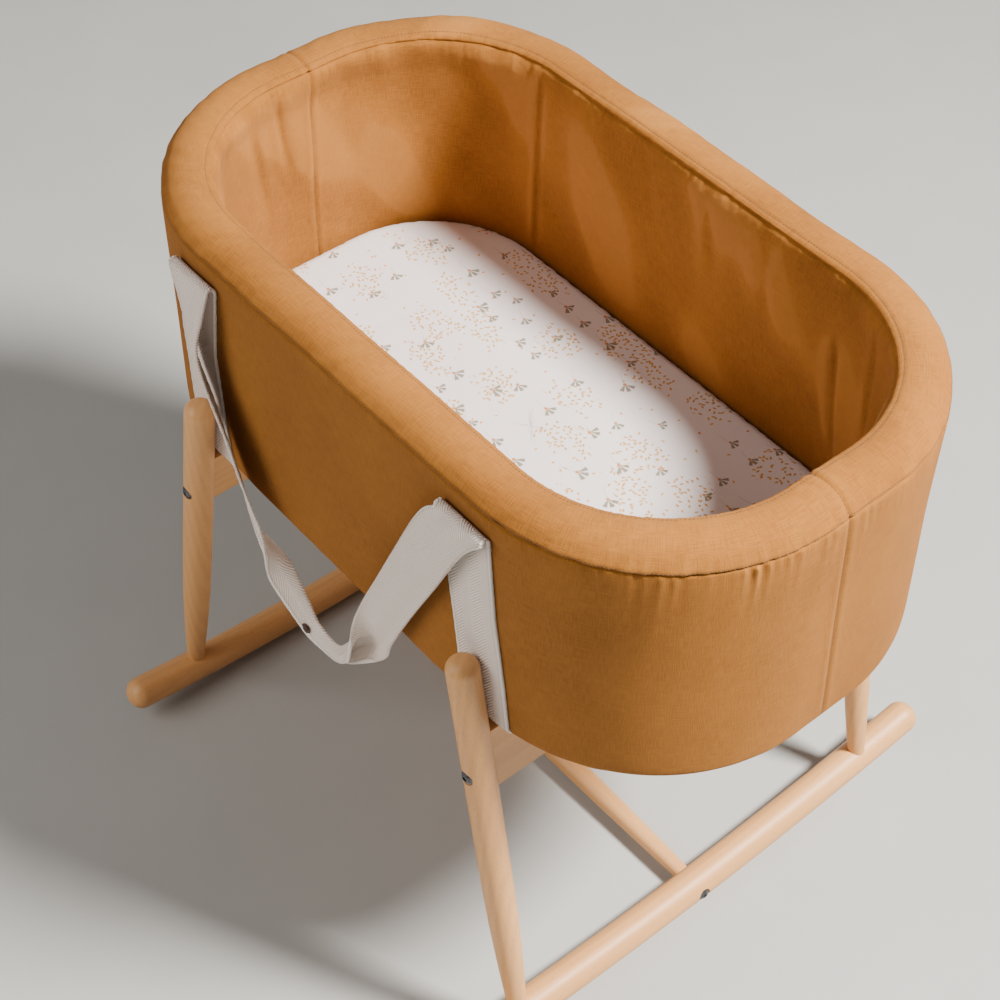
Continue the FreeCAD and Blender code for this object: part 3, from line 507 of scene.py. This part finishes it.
def wall_y(x, z, sign):
    """How far out the front or back wall's panel is at (x, z), at the foot (sign 1) or head end."""
    s = side_back(sign * np.linspace(0.10, 0.30, 161))
    flat = np.full_like(s, z)
    _, _, nx, _ = outline(s, 0)
    ends = np.interp(-flat, [-p[1] for p in PANEL_ENDS[:8]], [p[0] for p in PANEL_ENDS[:8]])
    sides = np.interp(-flat, [-p[1] for p in PANEL_SIDES[:8]], [p[0] for p in PANEL_SIDES[:8]])
    mix = np.abs(nx) ** 1.3
    u, _ = press_panel(s, mix * ends + (1 - mix) * sides, flat, nx)
    px, py, _, _ = outline(s, u)
    order = np.argsort(np.abs(px))
    return np.interp(np.abs(x), np.abs(px)[order], py[order])


def make_sling(name, sign):
    """A strap down one wall, under the basket over the crossbar, and up the other wall."""
    heights = np.arange(0.6995, 0.4606, -2.2 * MM)
    across = np.linspace(-0.031, 0.031, 25)
    rows = []
    for z in heights:
        x = strap_centre(z, sign) + across
        out = wall_y(x, z, sign) + 0.0019
        if z < LEG_TOP + 0.01:
            out = np.minimum(out, 0.2397)
        rows.append(np.stack([x, out, np.full_like(x, z)], -1))
    down = np.array(rows)
    x0 = strap_centre(0.4536, sign) + across
    out = np.minimum(wall_y(x0, 0.462, sign) + 0.0019, 0.2397)
    bend = []
    for a in np.linspace(0, math.pi / 2, 9)[1:]:
        r = 0.0062
        bend.append(np.stack([x0, out - r + r * np.cos(a), np.full_like(x0, 0.4604 - r * np.sin(a))], -1))
    half = np.concatenate([down, np.array(bend)])
    under = [np.stack([x0, (out - 0.0062) * k, np.full_like(x0, 0.4537)], -1)
             for k in np.linspace(1, -1, 90)[1:-1]]
    other = half[::-1] * np.array([1, -1, 1])
    centre = np.concatenate([half, np.array(under), other])
    centre[..., 0] *= sign
    return ribbon(name, centre)


FOLD = [(-242.0, 692), (-242.0, 700), (-243.5, 703.6), (-246.6, 704.8), (-249.8, 703.6), (-251.2, 700)]


def rail(foot, stations, head):
    """One line along a handle in mm: it folds over the foot's strap at x = foot, follows the
    stations (x, y, z), and folds over the head's strap at x = head."""
    over = [(foot, y, z) for y, z in FOLD]
    back = [(head, y, z) for y, z in reversed(FOLD)]
    return np.array(over + stations + back, float) * MM


# The lines along a handle's inner edge, middle and outer edge, inner being nearer the basket's
# middle at the folds. Their stations were drawn from the photo with the help of a measuring
# program, and then adjusted by eye.
HANDLE_F = rail(160, [(147, -251.6, 687), (130, -252, 655), (106, -252.5, 600), (78, -253, 535),
                      (50, -254, 470), (42, -260, 436), (45, -268, 401), (20, -255, 349), (-3, -251, 325),
                      (-30, -250, 317), (-52, -252.6, 321), (-63, -256.6, 337), (-78, -263, 363),
                      (-89, -270, 394), (-84, -274, 430), (-93, -270, 456), (-110, -269, 482),
                      (-126, -269, 512), (-139, -269, 545), (-156, -269, 575), (-172, -269, 608),
                      (-179, -267, 640), (-176, -260, 672)], -175)
HANDLE_M = rail(191, [(177, -251.8, 685), (159, -252.4, 652), (133, -252.6, 596), (103, -252, 529),
                      (72, -250, 459), (60, -244, 428), (38, -243, 402), (15, -246, 370), (2, -249, 353),
                      (-18, -247.5, 346), (-39, -246.3, 350), (-49, -246.3, 362), (-62, -247, 384),
                      (-80, -248, 409), (-99, -253, 424), (-119, -260, 441), (-136, -257, 468),
                      (-153, -256, 500), (-167, -256, 534), (-180, -256, 564), (-196, -256.5, 597),
                      (-205, -256.5, 634), (-204, -254.5, 668)], -206)
HANDLE_B = rail(222, [(207, -251.4, 683), (188, -251.6, 650), (160, -251.6, 590), (127, -251.5, 522),
                      (93, -251.5, 447), (80, -250, 412), (48, -248, 371), (16, -246, 336),
                      (-6, -246.5, 322), (-32, -246.4, 314), (-54, -248.6, 317), (-65, -252.4, 333),
                      (-81, -257, 359), (-97, -260, 387), (-123, -254, 400), (-143, -250, 426),
                      (-160, -246, 456), (-178, -244.5, 488), (-193, -244, 524), (-204, -244, 552),
                      (-219, -245, 586), (-229, -246.5, 626), (-232, -249, 664)], -237)


def make_handle(name, side):
    """Webbing that hangs in a bow between two straps, its middle folded double as a grip."""
    w = spline_weights(len(HANDLE_M), spans_for(HANDLE_M, 2.2 * MM))
    f, m, b = (w @ line for line in (HANDLE_F, HANDLE_M, HANDLE_B))
    cols = 29
    rows = []
    for a, mid, c in zip(f, m, b):
        t = np.linspace(0, 1, cols)[:, None]
        # a curve through both edges and the middle: straight where flat, a hairpin where folded
        tight = 1 - np.linalg.norm(c - a) / max(np.linalg.norm(a - mid) + np.linalg.norm(c - mid), 1e-6)
        tight = float(np.clip(tight * 1.5, 0, 0.92))
        bow = mid - (a + c) / 2
        k = 2 * t - 1
        round_way = (1 - k * k) * (1 - tight) + tight * (1 - np.abs(k)) ** 0.9
        spread = (c - a) / 2
        side_way = k * (1 - tight) + tight * np.sign(k) * np.minimum(1, np.abs(k) * 3.0) ** 0.8
        rows.append((a + c) / 2 + spread * side_way + bow * round_way)
    centre = np.array(rows)
    if side > 0:
        centre = centre * np.array([1, -1, 1])
    return ribbon(name, centre)


sling_foot = make_sling("strap_foot", 1)
sling_head = make_sling("strap_head", -1)
handle_front = make_handle("carry_strap_front", -1)
handle_back = make_handle("carry_strap_back", 1)

# ---------------------------------------------------------------- stitches


def thread_row(name, points, normals, pitch=3.6 * MM, length=2.7 * MM, radius=0.36 * MM, sink=0.10 * MM):
    """Single stitches along a row of points, each a short thread that dips in at both ends."""
    points, normals = np.asarray(points), np.asarray(normals)
    d = np.concatenate([[0], np.cumsum(np.linalg.norm(np.diff(points, axis=0), axis=1))])
    count = max(1, int(d[-1] / pitch))
    rings, sides = 5, 6
    base = np.array([(k % sides, k // sides) for k in range(rings * sides)])
    verts, faces = [], []
    for i in range(count):
        start = (i + 0.5) * d[-1] / count - length / 2
        at = np.linspace(start, start + length, rings)
        c = np.stack([np.interp(at, d, points[:, k]) for k in range(3)], -1)
        n = np.stack([np.interp(at, d, normals[:, k]) for k in range(3)], -1)
        t = c[-1] - c[0]
        t = t / max(np.linalg.norm(t), 1e-9)
        n = n - (n @ t)[:, None] * t
        n /= np.maximum(np.linalg.norm(n, axis=1, keepdims=True), 1e-9)
        b = np.cross(t, n)
        arch = np.sin(np.linspace(0, math.pi, rings))
        c = c + n * (radius * (1.3 * arch - 0.45) - sink)[:, None]
        r = radius * (0.55 + 0.45 * arch)
        first = len(verts)
        for j in range(rings):
            for k in range(sides):
                a = 2 * math.pi * k / sides
                verts.append(c[j] + r[j] * (math.cos(a) * b[j] + math.sin(a) * n[j]))
        for j in range(rings - 1):
            for k in range(sides):
                k2 = (k + 1) % sides
                faces.append((first + j * sides + k, first + j * sides + k2,
                              first + (j + 1) * sides + k2, first + (j + 1) * sides + k))
    return new_mesh(name, np.array(verts), np.array(faces))


def tube(name, points, radius, sides=8):
    """A thin round cord along a row of points."""
    points = np.asarray(points)
    t = np.gradient(points, axis=0)
    t /= np.linalg.norm(t, axis=1, keepdims=True)
    b = np.cross(t, (0, 0, 1.0))
    b /= np.maximum(np.linalg.norm(b, axis=1, keepdims=True), 1e-9)
    n = np.cross(b, t)
    a = np.linspace(0, 2 * math.pi, sides, endpoint=False)
    round_way = np.cos(a)[None, :, None] * b[:, None] + np.sin(a)[None, :, None] * n[:, None]
    p = points[:, None] + radius * round_way
    return new_mesh(name, p, grid_faces(len(points), sides, closed_cols=True))


def make_stitches():
    made = []
    for side in ("front", "back"):
        rim = walls["rim_" + side][1]
        panel = walls["panel_" + side][1]
        lining = walls["lining_" + side][1]
        rn, pn, ln = grid_normals(rim, -1), grid_normals(panel, -1), grid_normals(lining, 1)
        down = np.concatenate([[0], np.cumsum(np.linalg.norm(np.diff(rim[:, 300], axis=0), axis=1))])
        inner = int(np.argmin(abs(down - 9.5 * MM)))
        outer = int(np.argmin(abs(down - (down[-1] - 4.0 * MM))))
        made.append(thread_row("stitch_inner_" + side, rim[inner], rn[inner]))
        # a thin dark cord along the bottom of the outer seam's groove: a painted shadow line, in the thread
        # material
        made.append(tube("seam_shadow_line_" + side, rim[-1, ::2] - rn[-1, ::2] * 0.05 * MM, 0.55 * MM))
        made.append(thread_row("stitch_outer_" + side, rim[outer], rn[outer]))
        keep = slice(2, panel.shape[0] - 12)
        made.append(thread_row("stitch_end_near_" + side, panel[keep, 0 if side == "back" else -1],
                               pn[keep, 0 if side == "back" else -1]))
        if side == "back":
            made.append(thread_row("stitch_end_far", panel[keep, -1], pn[keep, -1]))
            for name, col in (("near", 0), ("far", -1)):
                made.append(thread_row("stitch_rim_" + name, rim[:, col], rn[:, col]))
                made.append(thread_row("stitch_lining_" + name, lining[4:, col], ln[4:, col]))
    return made


stitches = make_stitches()

# ---------------------------------------------------------------- materials


class Shade:
    """A small helper for building one material's nodes."""

    def __init__(self, name, roughness=0.8, **constants):
        self.material = bpy.data.materials.new(name)
        self.material.use_nodes = True
        self.tree = self.material.node_tree
        self.tree.nodes.clear()
        self.out = self.tree.nodes.new("ShaderNodeOutputMaterial")
        self.shader = self.tree.nodes.new("ShaderNodeBsdfPrincipled")
        self.tree.links.new(self.shader.outputs[0], self.out.inputs[0])
        self.shader.inputs["Roughness"].default_value = roughness
        for socket, value in constants.items():
            self.shader.inputs[socket.replace("_", " ")].default_value = value

    def plug(self, socket, value):
        if isinstance(value, bpy.types.NodeSocket):
            self.tree.links.new(value, socket)
        else:
            socket.default_value = value

    def node(self, kind, out=0, settings=None, **inputs):
        n = self.tree.nodes.new(kind)
        for key, value in (settings or {}).items():
            setattr(n, key, value)
        for key, value in inputs.items():
            self.plug(n.inputs[key.replace("_", " ")], value)
        return n.outputs[out]

    def math(self, operation, a, b=0.0, c=0.0):
        n = self.tree.nodes.new("ShaderNodeMath")
        n.operation = operation
        for socket, value in zip(n.inputs, (a, b, c)):
            self.plug(socket, value)
        return n.outputs[0]

    def add(self, a, b):
        return self.math("ADD", a, b)

    def times(self, a, b):
        return self.math("MULTIPLY", a, b)

    def step(self, a, low, high):
        """0 below low, 1 above high, smooth between."""
        n = self.tree.nodes.new("ShaderNodeMapRange")
        n.interpolation_type = "SMOOTHSTEP"
        for socket, value in zip(n.inputs, (a, low, high, 0.0, 1.0)):
            self.plug(socket, value)
        return n.outputs[0]

    def wave(self, a, length):
        return self.math("SINE", self.times(a, 2 * math.pi / length))

    def noise(self, vector, scale, detail=2.0, roughness=0.5):
        return self.node("ShaderNodeTexNoise", Vector=vector, Scale=scale, Detail=detail, Roughness=roughness)

    def xyz(self, vector):
        n = self.tree.nodes.new("ShaderNodeSeparateXYZ")
        self.plug(n.inputs[0], vector)
        return n.outputs

    def vector(self, x, y, z=0.0):
        n = self.tree.nodes.new("ShaderNodeCombineXYZ")
        for socket, value in zip(n.inputs, (x, y, z)):
            self.plug(socket, value)
        return n.outputs[0]

    def mix(self, factor, a, b):
        n = self.tree.nodes.new("ShaderNodeMix")
        n.data_type = "RGBA"
        self.plug(n.inputs[0], factor)
        self.plug(n.inputs[6], a if isinstance(a, bpy.types.NodeSocket) else (*a, 1))
        self.plug(n.inputs[7], b if isinstance(b, bpy.types.NodeSocket) else (*b, 1))
        return n.outputs[2]

    def uv(self):
        return self.node("ShaderNodeUVMap", settings={"uv_map": "metres"})

    def place(self):
        return self.node("ShaderNodeTexCoord", out=3)

    def colour(self, value):
        self.plug(self.shader.inputs["Base Color"], value)

    def rough(self, value):
        self.plug(self.shader.inputs["Roughness"], value)

    def bump(self, height, distance, strength=1.0):
        n = self.tree.nodes.new("ShaderNodeBump")
        n.inputs["Strength"].default_value = strength
        n.inputs["Distance"].default_value = distance
        self.plug(n.inputs["Height"], height)
        self.plug(self.shader.inputs["Normal"], n.outputs[0])


def scaled(m, vector, sx, sy, sz=1.0):
    x, y, z = m.xyz(vector)
    return m.vector(m.times(x, sx), m.times(y, sy), m.times(z, sz))


def make_canvas(name, dark, light, crest_highlight):
    m = Shade(name, Sheen_Weight=0.06, Sheen_Roughness=0.45, Specular_IOR_Level=0.10)
    m.shader.inputs["Sheen Tint"].default_value = (1.0, 0.72, 0.42, 1)
    uv = m.uv()
    u, v, _ = m.xyz(uv)
    warp, weft = m.wave(u, 0.00085), m.wave(v, 0.00085)
    weave = m.times(warp, weft)
    slub_u = m.noise(scaled(m, uv, 60, 1150), 1.0, 2.0)
    slub_v = m.noise(scaled(m, uv, 1150, 66), 1.0, 2.0)
    slubs = m.times(m.add(slub_u, slub_v), 0.5)
    soft = m.noise(uv, 7.0, 4.0, 0.6)
    crest = m.node("ShaderNodeAttribute", out=2, settings={"attribute_name": "crest"})
    shade = m.add(m.times(m.step(slubs, 0.41, 0.59), 0.40), m.times(m.step(soft, 0.3, 0.7), 0.26))
    # painted shade and highlight: the colour darkens where the cloth's relief dips in (pucker hollows, seam
    # grooves, stitch rows) and lightens where it stands out
    shade = m.add(shade, m.times(m.step(crest, 0.05, 0.95), 0.34))
    base = m.mix(m.math("MINIMUM", shade, 1.0), dark, light)
    # painted highlight: the highest crests are mixed towards a paler colour
    m.colour(m.mix(m.times(m.step(crest, 0.72, 1.0), 0.35), base, crest_highlight))
    m.rough(m.add(0.80, m.times(slubs, 0.14)))
    height = m.add(m.times(slubs, 0.75), m.times(weave, 0.14))
    m.bump(height, 0.0011, 0.75)
    return m.material


def make_web(name, dark, light, bright):
    m = Shade(name, Sheen_Weight=0.30, Sheen_Roughness=0.4, Specular_IOR_Level=0.25)
    uv = m.uv()
    u, v, _ = m.xyz(uv)
    zigzag = m.math("PINGPONG", m.add(u, 1.0075), 0.0155)
    diagonal = m.wave(m.add(v, m.times(zigzag, 1.25)), 0.0036)
    ribs = m.step(diagonal, -0.9, 0.9)
    edge = m.step(m.math("ABSOLUTE", u), 0.0282, 0.0290)
    cord = m.step(m.wave(v, 0.0026), -0.8, 0.8)
    height = m.mix(edge, m.node("ShaderNodeCombineColor", Red=ribs, Green=ribs, Blue=ribs),
                   m.node("ShaderNodeCombineColor", Red=cord, Green=cord, Blue=cord))
    level = m.node("ShaderNodeSeparateColor", Color=height)
    fuzz = m.noise(scaled(m, uv, 900, 160), 1.0, 3.0)
    soft = m.noise(uv, 14.0, 3.0)
    # painted shade: darker in the dip between the corded edge and the body of the webbing
    groove_shade = m.times(m.step(m.math("ABSOLUTE", u), 0.0262, 0.0270), m.math("SUBTRACT", 1.0, edge))
    shade = m.add(m.times(level, 0.66), m.add(m.times(fuzz, 0.24), m.times(soft, 0.14)))
    shade = m.math("SUBTRACT", shade, m.times(groove_shade, 0.30))
    base = m.mix(m.math("MINIMUM", shade, 1.0), dark, light)
    m.colour(m.mix(m.times(edge, m.add(0.35, m.times(cord, 0.5))), base, bright))
    m.rough(m.add(0.78, m.times(fuzz, 0.16)))
    m.bump(m.add(level, m.times(fuzz, 0.35)), 0.0007, 0.9)
    return m.material


def cells(m, vector, size, jitter=1.0):
    """Cells of that size in the plane: the place inside the cell, the cell's own place (both
    x, y in metres), and three random numbers for each cell."""
    x, y, _ = m.xyz(vector)
    n = m.tree.nodes.new("ShaderNodeTexVoronoi")
    n.voronoi_dimensions = "2D"
    n.inputs["Scale"].default_value = 1.0 / size
    n.inputs["Randomness"].default_value = jitter
    m.plug(n.inputs["Vector"], m.vector(x, y))
    cx, cy, _ = m.xyz(n.outputs["Position"])
    dice = m.node("ShaderNodeSeparateColor", Color=n.outputs["Color"]).node.outputs
    return m.math("SUBTRACT", x, cx), m.math("SUBTRACT", y, cy), cx, cy, dice


def turned(m, x, y, angle):
    c, s = m.math("COSINE", angle), m.math("SINE", angle)
    return (m.add(m.times(x, c), m.times(y, s)),
            m.math("SUBTRACT", m.times(y, c), m.times(x, s)))


def oval(m, x, y, at, half_long, half_wide, lean=0.0):
    """1 inside a leaf-shaped spot centred at `at`, its long side leaning from the y axis."""
    dx, dy = m.math("SUBTRACT", x, at[0]), m.math("SUBTRACT", y, at[1])
    dx, dy = turned(m, dx, dy, lean) if lean else (dx, dy)
    r = m.add(m.math("POWER", m.math("ABSOLUTE", m.times(dx, 1 / half_wide)), 1.7),
              m.math("POWER", m.math("ABSOLUTE", m.times(dy, 1 / half_long)), 1.9))
    return m.math("SUBTRACT", 1.0, m.step(r, 0.75, 1.15))


def largest(m, *values):
    out = values[0]
    for v in values[1:]:
        out = m.math("MAXIMUM", out, v)
    return out


def make_print(name):
    """Off-white cotton with a generic scattered print: groups of small petals, sprigs and dots."""
    m = Shade(name, Sheen_Weight=0.15, Sheen_Roughness=0.5, Specular_IOR_Level=0.3)
    place = m.uv()
    x, y, _ = m.xyz(place)
    _, _, z = m.xyz(m.place())
    flat = m.vector(x, y)
    # petals lie every way, inside loose round groups
    px, py, cx, cy, dice = cells(m, flat, 0.0056, 0.9)
    qx, qy = turned(m, px, py, m.times(dice[0], 2 * math.pi))
    pair = oval(m, qx, qy, (0.0, 0.0), 0.0023, 0.0012)
    gx, gy, _, _, _ = cells(m, m.vector(m.add(cx, 0.013), m.add(cy, 0.021)), 0.075, 0.75)
    r = m.math("SQRT", m.add(m.times(gx, gx), m.times(m.times(gy, gy), 1.9)))
    wobble = m.times(m.noise(m.vector(cx, cy), 34.0, 1.0), 0.055)
    inside = m.math("SUBTRACT", 1.0, m.step(m.add(r, wobble), 0.054, 0.058))
    stray = m.step(dice[1], 0.972, 0.973)
    chosen = m.times(largest(m, m.times(inside, m.step(dice[2], 0.26, 0.27)), stray), pair)
    # sprigs: a fan of thin leaves over a small orange base, on a hair-thin stem
    sx, sy, _, _, sprig_dice = cells(m, m.vector(m.add(x, 0.31), m.add(y, 0.17)), 0.036, 0.9)
    lean = m.add(m.times(sprig_dice[0], 1.1), -1.9)
    tx, ty = turned(m, sx, sy, lean)
    size = m.add(1.20, m.times(sprig_dice[2], 0.50))
    tx, ty = m.math("DIVIDE", tx, size), m.math("DIVIDE", ty, size)
    radius = m.math("SQRT", m.add(m.times(tx, tx), m.times(ty, ty)))
    angle = m.math("ARCTAN2", tx, ty)
    leaf = m.math("COSINE", m.times(angle, 8.0))
    fan = m.times(m.math("SUBTRACT", 1.0, m.step(m.math("ABSOLUTE", angle), 1.28, 1.36)),
                  m.math("SUBTRACT", 1.0, m.step(radius, 0.0060, 0.0070)))
    taper = m.step(m.math("SUBTRACT", leaf, m.times(radius, 45.0)), -0.85, -0.55)
    fan = m.times(fan, m.times(taper, m.step(radius, 0.0006, 0.0012)))
    beside = m.math("ABSOLUTE", m.add(tx, m.times(m.times(ty, ty), 18.0)))
    below = m.math("SUBTRACT", 1.0, m.step(ty, -0.0005, 0.0003))
    stem = m.times(m.math("SUBTRACT", 1.0, m.step(beside, 0.00016, 0.00034)),
                   m.times(m.step(ty, -0.0125, -0.0115), below))
    base = oval(m, tx, ty, (0.0, -0.0004), 0.0013, 0.0013)
    shown = m.step(sprig_dice[1], 0.40, 0.41)
    # single dots
    ox, oy, _, _, dot_dice = cells(m, m.vector(m.add(x, 0.77), m.add(y, 0.43)), 0.047, 0.95)
    from_dot = m.math("SQRT", m.add(m.times(ox, ox), m.times(oy, oy)))
    dot = m.times(m.math("SUBTRACT", 1.0, m.step(from_dot, 0.0012, 0.0016)), m.step(dot_dice[1], 0.35, 0.36))
    cloth = m.noise(scaled(m, place, 900, 130), 1.0, 2.0)
    soft = m.noise(flat, 9.0, 3.0)
    ground = m.mix(m.add(m.times(cloth, 0.5), m.times(soft, 0.5)), (0.66, 0.595, 0.59), (0.77, 0.705, 0.70))
    top = m.math("GREATER_THAN", z, MAT_LOW.z + 0.004)
    ochre = m.mix(dice[1], (0.47, 0.235, 0.025), (0.58, 0.33, 0.06))
    colour = m.mix(m.times(m.times(chosen, 0.92), top), ground, ochre)
    colour = m.mix(m.times(m.times(m.times(stem, shown), 0.45), top), colour, (0.33, 0.29, 0.24))
    colour = m.mix(m.times(m.times(m.times(fan, shown), 0.88), top), colour, (0.17, 0.15, 0.095))
    colour = m.mix(m.times(m.times(m.times(base, shown), 0.9), top), colour, (0.50, 0.17, 0.03))
    colour = m.mix(m.times(m.times(dot, 0.92), top), colour, (0.66, 0.19, 0.025))
    m.colour(colour)
    m.rough(m.add(0.80, m.times(cloth, 0.12)))
    m.bump(m.add(m.times(cloth, 0.6), m.times(soft, 0.8)), 0.0004, 0.35)
    return m.material


def make_beech(name, axis):
    m = Shade(name, Specular_IOR_Level=0.42, Coat_Weight=0.10, Coat_Roughness=0.35)
    place = m.place()
    x, y, z = m.xyz(place)
    along, across = {0: (x, (y, z)), 1: (y, (x, z)), 2: (z, (x, y))}[axis]
    grain_at = m.vector(m.times(across[0], 34.0), m.times(across[1], 34.0), m.times(along, 1.7))
    warp = m.noise(grain_at, 1.0, 2.0)
    slant = m.add(across[0], m.times(across[1], 0.55))
    rings = m.math("SINE", m.add(m.times(slant, 620.0), m.times(warp, 11.0)))
    fleck_at = m.vector(m.times(across[0], 900.0), m.times(across[1], 900.0), m.times(along, 150.0))
    flecks = m.step(m.noise(fleck_at, 1.0, 1.0), 0.60, 0.74)
    fibre_at = m.vector(m.times(across[0], 700.0), m.times(across[1], 700.0), m.times(along, 9.0))
    fibre = m.noise(fibre_at, 1.0, 3.0)
    board_at = m.vector(m.times(across[0], 8.0), m.times(across[1], 8.0), m.times(along, 2.2))
    board = m.noise(board_at, 1.0, 2.0)
    shade = m.add(m.times(m.step(rings, -1.0, 1.0), 0.14), m.add(m.times(fibre, 0.46), m.times(board, 0.38)))
    colour = m.mix(m.math("MINIMUM", shade, 1.0), (0.50, 0.225, 0.070), (0.76, 0.405, 0.155))
    m.colour(m.mix(m.times(flecks, 0.35), colour, (0.36, 0.17, 0.07)))
    m.rough(m.add(0.36, m.times(fibre, 0.22)))
    m.bump(m.add(m.times(fibre, 0.7), m.times(flecks, -0.5)), 0.0003, 0.30)
    return m.material


def make_metal(name, dark, light, metallic, rough):
    m = Shade(name, Metallic=metallic)
    place = m.place()
    wear = m.noise(place, 420.0, 4.0, 0.6)
    brushed = m.noise(scaled(m, place, 2600, 2600, 300), 1.0, 2.0)
    m.colour(m.mix(m.step(wear, 0.35, 0.70), dark, light))
    m.rough(m.add(rough, m.times(brushed, 0.16)))
    m.bump(brushed, 0.0001, 0.4)
    return m.material


def make_board(name, dark, light, scale):
    m = Shade(name, Specular_IOR_Level=0.3)
    place = m.place()
    x, y, z = m.xyz(place)
    layers = m.step(m.wave(z, 0.0026), -0.2, 0.2)
    fibre = m.noise(scaled(m, place, 3 * scale, scale, scale), 1.0, 4.0, 0.6)
    m.colour(m.mix(m.add(m.times(fibre, 0.75), m.times(layers, 0.22)), dark, light))
    m.rough(m.add(0.68, m.times(fibre, 0.2)))
    m.bump(fibre, 0.0004, 0.4)
    return m.material


def make_foam(name):
    m = Shade(name, Specular_IOR_Level=0.2)
    place = m.place()
    pores = m.node("ShaderNodeTexVoronoi", Vector=place, Scale=650.0)
    soft = m.noise(place, 22.0, 3.0)
    m.colour(m.mix(m.add(m.times(m.step(pores, 0.1, 0.6), 0.5), m.times(soft, 0.4)),
                   (0.62, 0.57, 0.44), (0.84, 0.80, 0.68)))
    m.rough(m.add(0.86, m.times(soft, 0.1)))
    m.bump(pores, 0.0006, 0.5)
    return m.material


def make_thread(name, dark, light):
    m = Shade(name, Sheen_Weight=0.2, Specular_IOR_Level=0.3)
    place = m.place()
    twist = m.noise(place, 1500.0, 2.0)
    m.colour(m.mix(twist, dark, light))
    m.rough(m.add(0.62, m.times(twist, 0.2)))
    m.bump(twist, 0.0002, 0.5)
    return m.material


# the last colour is the painted highlight put on the highest crests
CANVAS = make_canvas("ochre_canvas", (0.215, 0.078, 0.0125), (0.375, 0.148, 0.027), (0.44, 0.19, 0.045))
WEB = make_web("cream_webbing", (0.60, 0.48, 0.405), (1.0, 0.90, 0.82), (1.0, 0.95, 0.90))
PRINT = make_print("printed_sheet")
THREAD = make_thread("dark_thread", (0.045, 0.018, 0.006), (0.095, 0.040, 0.014))
FOAM = make_foam("foam")
BEECH = [make_beech("beech_" + "xyz"[k], k) for k in range(3)]
ZINC = make_metal("dark_zinc", (0.055, 0.055, 0.06), (0.17, 0.17, 0.18), 0.9, 0.26)
BRASS = make_metal("brass", (0.48, 0.33, 0.12), (0.78, 0.58, 0.27), 1.0, 0.24)
SNAP = make_metal("dark_snap", (0.060, 0.030, 0.020), (0.15, 0.082, 0.055), 0.65, 0.22)
PLY = make_board("plywood", (0.48, 0.33, 0.18), (0.74, 0.58, 0.38), 40)
FIBRE = make_board("fibreboard", (0.26, 0.18, 0.11), (0.46, 0.34, 0.22), 90)


def dress(piece, material, body=None):
    piece.data.materials.clear()
    piece.data.materials.append(material)
    if body:
        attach(piece, body)
    return piece


NODE_LOOKS = (("rocker_", BEECH[1]), ("leg_", BEECH[2]), ("crossbar_bolts", ZINC), ("stretcher_bolts", ZINC),
              ("crossbar_inserts", BRASS), ("stretcher_inserts", BRASS), ("crossbar_dowels", BEECH[0]),
              ("crossbar_", BEECH[1]), ("stretcher", BEECH[0]), ("base_board", PLY), ("wall_board", FIBRE),
              ("handle_front_snap", SNAP), ("handle_back_snap", SNAP))
for name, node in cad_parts.items():
    look = next((m for start, m in NODE_LOOKS if name.startswith(start)), None)
    if look is not None:
        for i in range(max(1, len(node.data.materials))):
            if node.data.materials:
                node.data.materials[i] = look
            else:
                node.data.materials.append(look)
        for polygon in node.data.polygons:
            polygon.use_smooth = True

# ---------------------------------------------------------------- what rides on what

STANDS_FOR = {"rim_front": ("rim_cover_front", "rim_foam"), "rim_back": ("rim_cover_back",),
              "panel_front": ("outer_cover_front", "outer_padding"), "panel_back": ("outer_cover_back",),
              "lining_front": ("lining_front", "inner_padding"), "lining_back": ("lining_back",)}
for key, (piece, _) in walls.items():
    dress(piece, CANVAS, "basket")
    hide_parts(*STANDS_FOR[key])
dress(base_panel, CANVAS, "basket")
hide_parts("base_cover")
dress(mattress_core, FOAM, "mattress")
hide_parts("mattress_core")
dress(fitted_sheet, PRINT, "mattress")
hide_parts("fitted_sheet")
for piece, body, node in ((sling_foot, "basket", "strap_sling_foot"),
                          (sling_head, "basket", "strap_sling_head"),
                          (handle_front, "front_handle", "handle_front"),
                          (handle_back, "back_handle", "handle_back")):
    dress(piece, WEB, body)
    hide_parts(node)
for piece in stitches:
    dress(piece, THREAD, "basket")

# ---------------------------------------------------------------- floor and light


def make_floor():
    floor = new_mesh("floor", [(-6, -6, 0), (6, -6, 0), (6, 6, 0), (-6, 6, 0)], [(0, 1, 2, 3)], smooth=False)
    m = Shade("floor", Specular_IOR_Level=0.3)
    place = m.place()
    m.colour(m.mix(m.noise(place, 3.0, 5.0, 0.6), (0.36, 0.36, 0.345), (0.44, 0.44, 0.42)))
    m.rough(m.add(0.62, m.times(m.noise(place, 9.0, 3.0), 0.2)))
    floor.data.materials.append(m.material)


def area_light(name, place, aim, size, power, colour):
    data = bpy.data.lights.new(name, "AREA")
    data.shape, data.size, data.energy, data.color = "DISK", size, power, colour
    lamp = bpy.data.objects.new(name, data)
    lamp.location = place
    lamp.rotation_mode = "QUATERNION"
    lamp.rotation_quaternion = (Vector(aim) - Vector(place)).to_track_quat("-Z", "Y")
    bpy.context.scene.collection.objects.link(lamp)


make_floor()
area_light("key", (1.85, 1.12, 3.1), (0.05, 0.0, 0.5), 0.75, 500, (1.0, 0.96, 0.91))
area_light("fill", (-0.9, -2.6, 2.2), (0, 0, 0.5), 2.6, 70, (1.0, 0.95, 0.91))
world = bpy.data.worlds.new("world")
world.use_nodes = True
world.node_tree.nodes["Background"].inputs[0].default_value = (0.90, 0.88, 0.86, 1)
world.node_tree.nodes["Background"].inputs[1].default_value = 0.20
bpy.context.scene.world = world
